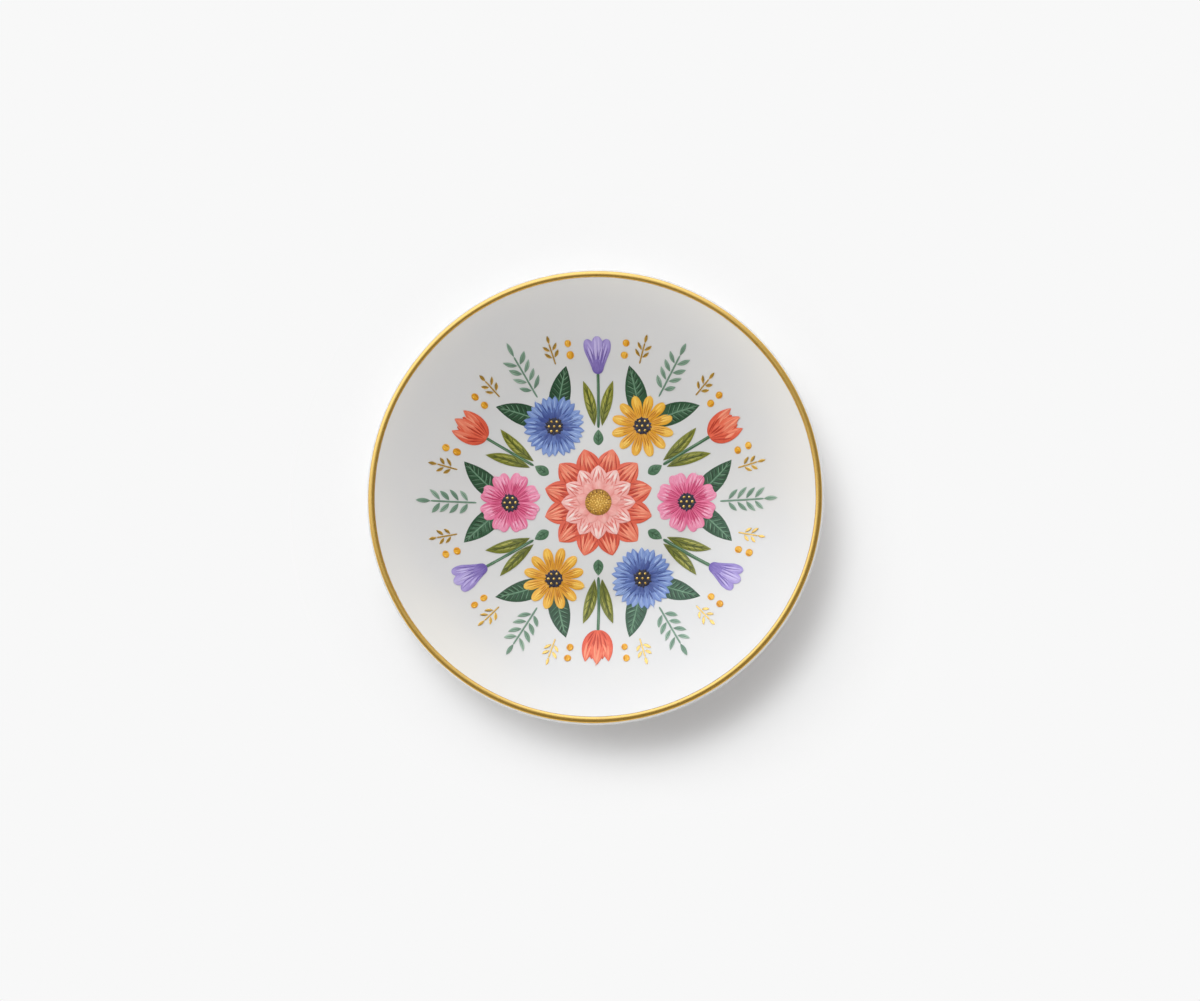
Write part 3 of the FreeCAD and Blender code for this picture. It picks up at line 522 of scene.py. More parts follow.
def stroke_surface(strokes, curves):
    """The closed lenses of a batch of strokes.

    Along the mark u steps closer at the ends. Across it, a section goes over the top, which swells
    by the coat's thickness times one less the fourth power of the share across, and back
    underneath, a little below. Every point is then draped on the glaze at its lift, and no two
    neighbours lie at quite the same height. The last two points are the ends of the mark.
    """
    stations, top, under = FINE_LENS if strokes.fine else PLAIN_LENS
    along = (1 - np.cos(np.pi * np.arange(1, stations + 1) / (stations + 1))) / 2
    over = np.linspace(-1, 1, top)
    over = np.sign(over) * np.abs(over) ** EDGE_CROWDING
    ring = np.append(over, under)
    sides = len(ring)
    ends = np.zeros(2)
    u = np.append(np.repeat(along, sides), (0, 1))
    across = np.append(np.tile(ring, stations), ends)
    swell = np.append(np.tile(np.append(1 - over**4, np.full(len(under), UNDERSIDE)), stations), ends)
    edge = np.append(np.tile(ring**2 - RIM_BALANCE, stations), ends)

    count = len(strokes.x)
    x, y = strokes.spot(u, across)
    level = strokes.lift + STAGGER * strokes.coat * (GOLDEN * np.arange(count) % 1)
    lift = level[:, None] + strokes.coat[:, None] * swell
    points = np.stack((x, y, glaze_height(curves, np.hypot(x, y), lift)), axis=2)
    tone = strokes.tone[:, None] + strokes.fade[:, None] * (u - 0.5) + strokes.rim[:, None] * edge

    grid = np.arange(stations * sides).reshape(stations, sides)
    after = np.roll(grid, -1, axis=1)
    quads = np.stack((grid[:-1], grid[1:], after[1:], after[:-1]), axis=2).reshape(-1, 4)
    foot = np.full(sides, stations * sides)
    fans = np.concatenate((np.stack((foot, grid[0], after[0]), axis=1),
                           np.stack((foot + 1, after[-1], grid[-1]), axis=1)))
    base = (np.arange(count) * len(u))[:, None, None]
    return SimpleNamespace(points=points.reshape(-1, 3), tone=tone.ravel(),
                           map=np.stack((u, (across + 1) / 2), axis=1),
                           faces=((quads + base).reshape(-1, 4), (fans + base).reshape(-1, 3)))


def signed_volume(points, triangles):
    """Volume inside a closed surface: a sixth of the sum of the triangles' triple products."""
    a, b, c = (points[triangles[:, corner]] for corner in range(3))
    return np.einsum("ij,ij->i", a, np.cross(b, c)).sum() / 6


def show_piece(name, node, slot, material, points, faces, uv=None, tone=None):
    """Makes one finished piece, lets it ride on the dish and stand for a solid.

    A brushed piece has a map, with a place for each point, and a tone.
    """
    triangles = np.concatenate([block[:, (0, k, k + 1)] for block in faces
                                for k in range(1, block.shape[1] - 1)])
    if signed_volume(points, triangles) < 0:
        faces = [block[:, ::-1] for block in faces]
    mesh = bpy.data.meshes.new(name)
    mesh.from_pydata(points.tolist(), [], [face for block in faces for face in block.tolist()])
    if uv is not None:
        corner = np.empty(len(mesh.loops), dtype=np.int32)
        mesh.loops.foreach_get("vertex_index", corner)
        layer = mesh.uv_layers.new(name=STROKE_MAP)
        layer.uv.foreach_set("vector", uv[corner].astype(np.float32).ravel())
        attribute = mesh.attributes.new(TONE, "FLOAT", "POINT")
        attribute.data.foreach_set("value", tone.astype(np.float32))
    mesh.shade_smooth()
    mesh.set_sharp_from_angle(angle=CREASE)
    mesh.materials.append(material)
    if mesh.validate():
        raise RuntimeError(f"{name}: its mesh had faults")
    piece = bpy.data.objects.new(name, mesh)
    bpy.context.scene.collection.objects.link(piece)
    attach(piece, BODY)
    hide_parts(node)


def fill(tree, node, sockets):
    """Gives each of a node's sockets the link or the value that belongs to it."""
    for socket, source in sockets.items():
        if isinstance(source, bpy.types.NodeSocket):
            tree.links.new(source, node.inputs[socket])
        else:
            node.inputs[socket].default_value = source


def add_node(tree, kind, sockets=None, **values):
    """A node with its properties and what goes into its sockets."""
    node = tree.nodes.new(kind)
    for key, value in values.items():
        setattr(node, key, value)
    fill(tree, node, sockets or {})
    return node


def reckon(tree, operation, *values):
    """What a Math node makes of some values."""
    return add_node(tree, "ShaderNodeMath", dict(enumerate(values)), operation=operation).outputs[0]


def reckon_vector(tree, operation, first, second, result="Vector"):
    """What a Vector Math node makes of two vectors."""
    node = add_node(tree, "ShaderNodeVectorMath", {0: first, 1: second}, operation=operation)
    return node.outputs[result]


def carried(tree, value, span, low, high, smooth=False):
    """A value carried from a span of its own to a low and a high one."""
    node = add_node(tree, "ShaderNodeMapRange", {"Value": value, "From Min": span[0], "From Max": span[1],
                                                 "To Min": low, "To Max": high},
                    interpolation_type="SMOOTHSTEP" if smooth else "LINEAR")
    return node.outputs["Result"]


def noise(tree, place, scale, detail, roughness=0.5):
    """Soft noise between 0 and 1."""
    return add_node(tree, "ShaderNodeTexNoise", {"Vector": place, "Scale": scale, "Detail": detail,
                                                 "Roughness": roughness}).outputs[0]


def own_place(tree):
    """The place in the object's own coordinates."""
    return add_node(tree, "ShaderNodeTexCoord").outputs["Object"]


def mixed(tree, factor, first, second):
    """Two shaders mixed by a factor."""
    return add_node(tree, "ShaderNodeMixShader", {0: factor, 1: first, 2: second}).outputs[0]


def shades(tree, factor, stops):
    """A colour ramp through (place, colour) stops."""
    ramp = add_node(tree, "ShaderNodeValToRGB", {"Fac": factor})
    elements = ramp.color_ramp.elements
    for element, (place, tint) in zip(elements, (stops[0], stops[-1])):
        element.position = place
        element.color = (*tint, 1)
    for place, tint in stops[1:-1]:
        elements.new(place).color = (*tint, 1)
    return ramp.outputs["Color"]


def relief(tree, height, strength, depth):
    """A bump whose height is a relief between 0 and 1, so deep."""
    bump = add_node(tree, "ShaderNodeBump", {"Height": height, "Strength": strength, "Distance": depth})
    return bump.outputs["Normal"]


def new_group(name, inputs, outputs):
    """An empty shader node group with a place and other inputs, by their defaults, and outputs."""
    group = bpy.data.node_groups.new(name, "ShaderNodeTree")
    group.interface.new_socket("Place", in_out="INPUT", socket_type="NodeSocketVector")
    for socket, default in inputs.items():
        made = group.interface.new_socket(socket, in_out="INPUT", socket_type="NodeSocketFloat")
        made.default_value = default
    for socket in outputs:
        group.interface.new_socket(socket, in_out="OUTPUT", socket_type="NodeSocketFloat")
    return group, group.nodes.new("NodeGroupInput").outputs, group.nodes.new("NodeGroupOutput")


def brush_group():
    """Long streaks of the brush's hairs and slow pools of colour, as a change of tone and a relief."""
    name = "Brush marks"
    if name in bpy.data.node_groups:
        return bpy.data.node_groups[name]
    group, given, out = new_group(name, {"Tone": 0.5, "Streaks": 0.5, "Pools": 0.3}, ("Tone", "Relief"))
    drawn_out = reckon_vector(group, "MULTIPLY", given["Place"], (0.55, 5.2, 1))
    hairs = noise(group, drawn_out, scale=1.0, detail=3.0, roughness=0.6)
    pools = noise(group, given["Place"], scale=0.7, detail=2.0)
    tone = given["Tone"]
    for marks, amount in ((hairs, given["Streaks"]), (pools, given["Pools"])):
        tone = reckon(group, "MULTIPLY_ADD", reckon(group, "SUBTRACT", marks, 0.5), amount, tone)
    fill(group, out, {"Tone": tone, "Relief": hairs})
    return group


def skin_group():
    """The slow swell and fine orange peel of a fired glaze, as a relief, and where it lies thicker."""
    name = "Fired skin"
    if name in bpy.data.node_groups:
        return bpy.data.node_groups[name]
    group, given, out = new_group(name, {"Swell": 1.0, "Peel": 0.2}, ("Relief", "Pool"))
    swell = noise(group, given["Place"], scale=90.0, detail=1.0)
    peel = noise(group, given["Place"], scale=900.0, detail=1.0)
    height = reckon(group, "MULTIPLY_ADD", peel, given["Peel"],
                    reckon(group, "MULTIPLY", swell, given["Swell"]))
    fill(group, out, {"Relief": height, "Pool": swell})
    return group


def new_material(name):
    """A material with a bare Principled shader."""
    material = bpy.data.materials.new(name)
    material.use_nodes = True
    tree = material.node_tree
    return material, tree, tree.nodes["Principled BSDF"]


def brushed(tree, streaks, pools):
    """What the brush group gives, reading the stroke's own map and tone."""
    stroke_map = add_node(tree, "ShaderNodeUVMap", uv_map=STROKE_MAP)
    tone = add_node(tree, "ShaderNodeAttribute", attribute_name=TONE)
    brush = add_node(tree, "ShaderNodeGroup",
                     {"Place": stroke_map.outputs["UV"], "Tone": tone.outputs["Fac"],
                      "Streaks": streaks, "Pools": pools}, node_tree=brush_group())
    return brush.outputs


def enamel(slot, colours):
    """A fired overglaze enamel whose shade follows the stroke's tone, its streaks and its pools."""
    name = slot.replace("_", " ").capitalize()
    if name in bpy.data.materials:
        return bpy.data.materials[name]
    material, tree, shader = new_material(name)
    brush = brushed(tree, streaks=0.55, pools=0.35)
    tints = [getattr(colours, f"{slot.removesuffix('_enamel')}_{shade}") for shade in SHADES]
    stops = list(zip((0.08, 0.5, 0.92), tints))
    fill(tree, shader, {"Base Color": shades(tree, brush["Tone"], stops),
                        "Roughness": carried(tree, brush["Relief"], (0.3, 0.7), 0.26, 0.42),
                        "Normal": relief(tree, brush["Relief"], strength=0.5, depth=0.00002)})
    return material


def gilding(colours):
    """Burnished gold that shows the brush: thinner and duller along its streaks."""
    name = "Burnished gilding"
    if name in bpy.data.materials:
        return bpy.data.materials[name]
    material, tree, shader = new_material(name)
    brush = brushed(tree, streaks=0.5, pools=0.4)
    stops = ((0.15, colours.gold_deep), (0.6, colours.gold))
    fill(tree, shader, {"Base Color": shades(tree, brush["Tone"], stops),
                        "Roughness": carried(tree, brush["Tone"], (0.2, 0.8), 0.36, 0.22),
                        "Normal": relief(tree, brush["Relief"], strength=0.35, depth=0.00002),
                        "Metallic": 1.0, "Coat Weight": 1.0, "Coat IOR": 1.6, "Coat Roughness": 0.25})
    return material


def white_glaze(colours):
    """Glossy white glaze with a slow swell and a faint cool tint where it has pooled."""
    material, tree, shader = new_material("White glaze")
    skin = add_node(tree, "ShaderNodeGroup", {"Place": own_place(tree)}, node_tree=skin_group()).outputs
    white = np.array(colours.glaze)
    stops = ((0.3, white * (0.985, 0.99, 1.0)), (0.7, white))
    fill(tree, shader, {"Base Color": shades(tree, skin["Pool"], stops),
                        "Roughness": carried(tree, skin["Pool"], (0.3, 0.7), 0.10, 0.16),
                        "Normal": relief(tree, skin["Relief"], strength=0.25, depth=0.00004)})
    return material


def bare_bisque(colours):
    """Unglazed porcelain: matt, finely sanded, with a few dark grains."""
    material, tree, shader = new_material("Bare bisque")
    place = own_place(tree)
    sand = noise(tree, place, scale=2600.0, detail=4.0)
    clouds = noise(tree, place, scale=160.0, detail=3.0)
    grains = reckon(tree, "MULTIPLY_ADD", sand, 0.4, clouds)
    clay = np.array(colours.bisque)
    stops = ((0.5, clay * (0.82, 0.79, 0.74)), (0.62, clay), (0.95, clay * 1.03))
    fill(tree, shader, {"Base Color": shades(tree, grains, stops),
                        "Roughness": carried(tree, sand, (0, 1), 0.75, 0.98),
                        "Normal": relief(tree, sand, strength=0.6, depth=0.00003)})
    return material


class Bench:
    """What every step works with: curves, sizes, colours, one coat of enamel and the hand's shake."""

    def __init__(self, context, seed=0):
        scene = context.scene
        self.curves = dish_curves(scene.ring_dish_sizes)
        self.paint = scene.ring_dish_paint
        self.colours = scene.ring_dish_colours
        self.coat = self.paint.coat
        self.rng = np.random.default_rng(seed)

    def strokes(self, outline, places, lift, coats=1.0, fine=True, **values):
        """A batch of strokes whose lift and thickness are counted in coats of enamel."""
        return Strokes(outline, fine, **places, lift=np.multiply(self.coat, lift), coat=coats * self.coat,
                       **values)

    def dabs(self, spokes, out, radius, lift, **values):
        """Round dabs, so far out on each spoke."""
        return self.strokes(dot_outline, around(spokes, out - radius), lift, length=2 * radius,
                            width=2 * radius, **values)

    def shaded(self, petals, shade, lights, length, heading, light_width=0.2):
        """Dark strokes on petals and light ones above them, each given as lines, width and tone.

        The hand's shake is a share of their length, an angle of heading and a share of the width.
        """
        dark = petals.marks_on(*shade, self.coat)
        light = petals.marks_on(*lights, LIGHT_COATS * self.coat)
        dark.vary(self.rng, tone=0.08, length=length, width=0.2, heading=heading)
        light.vary(self.rng, tone=0.08, length=length, width=light_width, heading=heading)
        return dark, light

    def lay(self, node, slot, batches, seed):
        """Makes one enamel of its batches of strokes, each stroke with its own part of the grain."""
        rng = np.random.default_rng(seed)
        parts = [stroke_surface(batch, self.curves) for batch in batches]
        start = np.cumsum([0] + [len(part.points) for part in parts])
        faces = [block + shift for part, shift in zip(parts, start) for block in part.faces]
        maps = []
        for part, batch in zip(parts, batches):
            place = rng.uniform(0, GRAIN_SPREAD, (len(batch.x), 1, 2))
            scale = np.stack((batch.length, batch.width), axis=1)[:, None] * MILLIMETRES
            maps.append((part.map * scale + place).reshape(-1, 2))
        tone = np.clip(np.concatenate([part.tone for part in parts]), 0, 1)
        finish = gilding(self.colours) if slot == "gilding" else enamel(slot, self.colours)
        show_piece(f"{node}_paint", node, slot, finish, np.concatenate([part.points for part in parts]),
                   faces, np.concatenate(maps), tone)


class DishOperator(bpy.types.Operator):
    """A step of making the dish."""
    bl_options = {"REGISTER", "UNDO"}


class TurnBody(DishOperator):
    """Turn the bisque body with its foot ring"""
    bl_idname = "ring_dish.turn_body"
    bl_label = "Bisque body"

    def execute(self, context):
        bench = Bench(context)
        curves = bench.curves
        rounded = curves.sizes.foot_round
        outer = arc(np.array((curves.foot_outer - rounded, rounded)), rounded, 0, -QUARTER, "foot")
        inner = arc(np.array((curves.foot_inner + rounded, rounded)), rounded, -QUARTER, -math.pi, "foot")
        section = np.concatenate((upper_line(curves, 0.0), outer, inner, recess_line(curves, 0.0)))
        show_piece("turned_body", "porcelain_body", "bisque", bare_bisque(bench.colours),
                   *turned_surface(section, DISH_STEPS))
        return {"FINISHED"}


class LayGlaze(DishOperator):
    """Lay the glaze over the dish and in the recess under it"""
    bl_idname = "ring_dish.lay_glaze"
    bl_label = "Glaze"

    def execute(self, context):
        bench = Bench(context)
        curves = bench.curves
        glaze = curves.sizes.glaze
        white = white_glaze(bench.colours)
        shell = glaze_shell(upper_line(curves, glaze), upper_line(curves, 0.0)[::-1], DISH_STEPS)
        show_piece("outer_glaze", "glaze_coat", "clear_glaze", white, *shell)
        shell = glaze_shell(recess_line(curves, 0.0)[::-1], recess_line(curves, glaze), RECESS_STEPS)
        show_piece("recess_glaze", "base_glaze", "clear_glaze", white, *shell)
        return {"FINISHED"}


class GildLip(DishOperator):
    """Draw the gilt line round the lip"""
    bl_idname = "ring_dish.gild_lip"
    bl_label = "Gilt lip"

    def execute(self, context):
        """The line is a thin sleeve: round the lip by an angle between two edges that wander as the
        brush goes round, and as thick as the coat times one less the sixth power of the share
        across."""
        bench = Bench(context)
        curves = bench.curves
        sizes = curves.sizes
        way = 2 * math.pi * np.arange(LIP_STEPS)[:, None] / LIP_STEPS
        outer = QUARTER - sizes.gold_outside + sizes.gold_wander * waves(way, OUTER_WAVES) / 2
        inner = QUARTER + sizes.gold_inside + sizes.gold_wander * waves(way, INNER_WAVES) / 2
        across = np.linspace(0, 1, POINTS["gold"])
        across = np.append(across, across[::-1])
        loop = len(across)
        skin = curves.lip_radius + sizes.glaze
        over = skin + sizes.gold * (1 - np.abs(2 * across - 1) ** 6)
        radius = np.where(np.arange(loop) < POINTS["gold"], over, skin - GOLD_TUCK)
        angle = outer + (inner - outer) * across
        out = curves.lip[0] + radius * np.cos(angle)
        points = np.stack((out * np.cos(way), out * np.sin(way), curves.lip[1] + radius * np.sin(angle)),
                          axis=2)
        index = np.arange(LIP_STEPS * loop).reshape(LIP_STEPS, loop)
        ahead, beside = np.roll(index, -1, axis=0), np.roll(index, -1, axis=1)
        faces = np.stack((index, ahead, np.roll(ahead, -1, axis=1), beside), axis=2).reshape(-1, 4)
        run = np.abs(way - math.pi) * curves.lip[0] * MILLIMETRES
        uv = np.stack(np.broadcast_arrays(run * GOLD_ALONG, across * GOLD_ACROSS), axis=2).reshape(-1, 2)
        show_piece("gilt_lip", "gold_rim_band", "gilding", gilding(bench.colours), points.reshape(-1, 3),
                   [faces], uv, np.full(len(uv), GOLD_TONE))
        return {"FINISHED"}


class PaintDahlia(DishOperator):
    """Paint the middle flower in three coats"""
    bl_idname = "ring_dish.paint_dahlia"
    bl_label = "Dahlia"

    def execute(self, context):
        bench = Bench(context, 11)
        rng, coat = bench.rng, bench.coat
        dahlia, inner, heart = bench.paint.dahlia, bench.paint.dahlia_inner, bench.paint.heart

        start = 0.22 * dahlia
        back = bench.strokes(petal_outline, around(spokes_of(12, 15), start), staggered(12, 1, 1),
                             length=dahlia - start, width=0.43 * dahlia, tone=0.46, fade=0.24, rim=-0.22)
        back.vary(rng, tone=0.05, width=0.03)
        marks = bench.shaded(
            back, length=0.1, heading=0.05,
            shade=([(0.3, -0.55, 0.72, -0.35), (0.3, 0.55, 0.72, 0.35), (0.36, 0, 0.7, 0.05)], 0.0006, 0.12),
            lights=([(0.55, -0.5, 0.9, -0.5), (0.5, -0.15, 0.95, -0.2), (0.55, 0.2, 0.93, 0.25),
                     (0.62, 0.55, 0.88, 0.5)], 0.0005, 0.86))
        edges = back.marks_on([(0.5, -0.92, 0.93, -0.8), (0.5, 0.92, 0.93, 0.8)], width=0.0003, tone=0.1,
                              above=coat)
        bench.lay("dahlia_outer_petals", "coral_enamel", [back, *marks, edges], 1)

        start = 0.2 * inner
        front = bench.strokes(petal_outline, around(spokes_of(12), start), staggered(12, 4, 1),
                              length=inner - start, width=0.44 * inner, tone=0.5, fade=0.4, rim=-0.2)
        front.vary(rng, tone=0.05, width=0.03)
        small = bench.strokes(petal_outline, around(spokes_of(9, 8), 0.1 * inner),
                              staggered(9, 6.5, 0.5, 3), length=0.5 * inner, width=0.34 * inner,
                              tone=0.36, fade=0.4, rim=-0.2)
        marks = bench.shaded(
            front, length=0.1, heading=0.05,
            shade=([(0.4, -0.45, 0.78, -0.3), (0.4, 0.45, 0.78, 0.3), (0.5, 0, 0.8, 0)], 0.0004, 0.22),
            lights=([(0.6, -0.35, 0.93, -0.3), (0.58, 0.35, 0.93, 0.3)], 0.0005, 0.95))
        edges = front.marks_on([(0.45, -0.92, 0.93, -0.75), (0.45, 0.92, 0.93, 0.75)], width=0.00024,
                               tone=0.06, above=coat)
        bench.lay("dahlia_inner_petals", "salmon_enamel", [front, *marks, edges, small], 2)

        ground = bench.dabs(spokes_of(1), 0, heart, 9, tone=0.4, rim=-0.3)
        fringe = bench.strokes(leaf_outline, around(spokes_of(34, 3), 0.6 * heart), 10, fine=False,
                               length=0.4 * heart, width=0.00026, tone=0.2)
        fringe.vary(rng, length=0.1, tone=0.12)
        # The dots stand as seeds do in a flower's head: each turned by the golden angle from the last.
        dot = 0.00038
        seed = np.arange(70)
        reach = 0.86 * heart * np.sqrt(seed / len(seed))
        lean = seed * math.radians(137.5)
        dots = bench.strokes(dot_outline, {"x": reach * np.cos(lean) - dot / 2, "y": reach * np.sin(lean)},
                             10, coats=1.5, fine=False, length=dot, width=dot,
                             tone=0.9 - 0.35 * reach / heart)
        dots.vary(rng, tone=0.12, length=0.1, width=0.1)
        bench.lay("dahlia_heart", "ochre_enamel", [ground, fringe, dots], 3)
        return {"FINISHED"}


class PaintBlooms(DishOperator):
    """Paint the six flowers of the ring, their eyes and their stamens"""
    bl_idname = "ring_dish.paint_blooms"
    bl_label = "Ring flowers"

    def petals(self, bench, outline, centres, count, turned, fan, **values):
        """The petals of some flowers, each of strokes that fan out from the eye, every other one raised."""
        turns = np.radians(fan)
        start = 0.16 * bench.paint.bloom
        spokes = spokes_of(count, turned, centres)
        places = around(spokes, start * np.cos(turns), start * np.sin(turns), turns)
        lift = staggered(count * len(centres[0]), 2, 1.2) + 0.2 * np.arange(len(turns))
        return bench.strokes(outline, places, lift, **values)

    def execute(self, context):
        bench = Bench(context, 23)
        rng, paint = bench.rng, bench.paint
        bloom, eye = paint.bloom, paint.eye
        whole = 0.84 * bloom
        shake = {"length": 0.2, "heading": 0.04, "light_width": 0.3}

        petals = self.petals(bench, paddle_outline, blooms(paint, 0, 180), count=8, turned=22.5,
                             fan=(-9, 9, 0), length=np.multiply(bloom, (0.82, 0.82, 0.79)),
                             width=np.multiply(bloom, (0.36, 0.36, 0.44)), tone=0.55, fade=0.32, rim=-0.14)
        petals.vary(rng, tone=0.04, length=0.015)
        marks = bench.shaded(
            petals, **shake,
            shade=([(0.1, -0.4, 0.62, -0.5), (0.12, 0, 0.75, 0), (0.1, 0.4, 0.6, 0.5)], 0.00028, 0.14),
            lights=([(0.55, -0.45, 0.93, -0.4), (0.55, 0.3, 0.93, 0.3)], 0.0003, 0.92))
        bench.lay("pink_cosmos", "pink_enamel", [petals, *marks], 4)

        petals = self.petals(bench, paddle_outline, blooms(paint, 60, 180), count=12, turned=15, fan=(0,),
                             length=whole, width=0.345 * bloom, tone=0.52, fade=0.34, rim=-0.2)
        petals.vary(rng, tone=0.05, length=0.02)
        marks = bench.shaded(
            petals, **shake,
            shade=([(0.15, -0.5, 0.7, -0.5), (0.2, 0, 0.78, 0.1), (0.15, 0.5, 0.68, 0.5)], 0.00026, 0.1),
            lights=([(0.5, -0.2, 0.94, -0.2), (0.55, 0.35, 0.92, 0.35)], 0.00034, 0.95))
        bench.lay("yellow_daisies", "yellow_enamel", [petals, *marks], 5)

        centres = blooms(paint, 120, 180)
        petals = self.petals(bench, petal_outline, centres, count=9, turned=20, fan=(-11.5, 11.5, 0),
                             length=whole, width=np.multiply(bloom, (0.27, 0.27, 0.3)), tone=0.48,
                             fade=0.3, rim=-0.2)
        petals.vary(rng, tone=0.07, length=0.02)
        marks = bench.shaded(
            petals, **shake, shade=([(0.2, -0.4, 0.66, -0.5), (0.2, 0.4, 0.7, 0.5)], 0.00026, 0.08),
            lights=([(0.5, 0.1, 0.93, 0.1)], 0.0003, 0.92))
        inner = bench.strokes(leaf_outline, around(spokes_of(18, 10, centres), 0.176 * bloom), 5,
                              fine=False, length=0.42 * bloom, width=0.16 * bloom, tone=0.2, fade=0.3)
        inner.vary(rng, tone=0.08, length=0.12)
        bench.lay("blue_cornflowers", "blue_enamel", [petals, *marks, inner], 6)

        centres = blooms(paint, 0, 60)
        stamen_ring = 0.62 * eye
        ground = bench.dabs(centres, 0, 0.93 * eye, 7.5, tone=0.2, rim=0.15)
        fringe = bench.strokes(dot_outline, around(spokes_of(17, 0, centres), stamen_ring), 7.8, fine=False,
                               length=0.42 * eye, width=0.24 * eye, tone=0.3)
        fringe.vary(rng, length=0.12, tone=0.14, heading=0.2)
        bench.lay("bloom_eyes", "navy_enamel", [ground, fringe], 7)

        middle, stamens = (
            bench.dabs(spokes, out, paint.stamen, 8.5, coats=2, fine=False, tone=0.7)
            for spokes, out in ((centres, 0), (spokes_of(6, 0, centres), stamen_ring)))
        stamens.vary(rng, length=0.12, width=0.12)
        bench.lay("gold_stamens", "gilding", [middle, stamens], 8)
        return {"FINISHED"}


class PaintHeads(DishOperator):
    """Paint the tulips and the bellflowers"""
    bl_idname = "ring_dish.paint_heads"
    bl_label = "Flower heads"

    def execute(self, context):
        bench = Bench(context, 37)
        head, base = bench.paint.head, bench.paint.head_base

        places = around(spokes_of(3, 30), base, np.multiply(head, (0.03, -0.03, 0.02, -0.02, 0)),
                        np.radians((18, -18, 9, -9, 0)))
        petals = bench.strokes(cup_outline, places, (2, 2.2, 1, 1.2, 3.2),
                               length=np.multiply(head, (0.97, 0.97, 0.86, 0.86, 1.0)),
                               width=np.multiply(head, (0.4, 0.4, 0.36, 0.36, 0.46)),
                               bend=(-0.5, 0.5, -0.3, 0.3, 0), tone=(0.5, 0.46, 0.2, 0.2, 0.58), fade=0.25,
                               rim=-0.2)
        marks = bench.shaded(
            petals, length=0.15, heading=0.04,
            shade=([(0.06, -0.5, 0.5, -0.5), (0.1, 0, 0.62, 0), (0.06, 0.5, 0.5, 0.5)], 0.0004, 0.1),
            lights=([(0.42, -0.35, 0.9, -0.4), (0.5, 0.3, 0.93, 0.4)], 0.00045, 0.9))
        bench.lay("coral_tulips", "coral_enamel", [petals, *marks], 9)

        spokes = spokes_of(3, 90)
        places = around(spokes, base, np.multiply(head, (0.04, -0.04, 0)), np.radians((17, -17, 0)))
        petals = bench.strokes(paddle_outline, places, (2, 2.2, 3),
                               length=np.multiply(head, (0.96, 0.96, 1.0)),
                               width=np.multiply(head, (0.36, 0.36, 0.4)), bend=(0.35, -0.35, 0),
                               tone=(0.44, 0.44, 0.58), fade=0.2, rim=-0.22)
        crown = bench.strokes(dot_outline, around(spokes, base - 0.01 * head), 4, length=0.4 * head,
                              width=0.34 * head, tone=0.22, fade=0.3)
        marks = bench.shaded(
            petals, length=0.15, heading=0.04,
            shade=([(0.15, -0.6, 0.75, -0.6), (0.2, 0, 0.8, 0), (0.15, 0.6, 0.75, 0.6)], 0.00032, 0.12),
            lights=([(0.45, -0.3, 0.95, -0.35), (0.4, 0.3, 0.93, 0.4)], 0.0004, 0.92))
        bench.lay("lilac_bellflowers", "lilac_enamel", [petals, crown, *marks], 10)
        return {"FINISHED"}


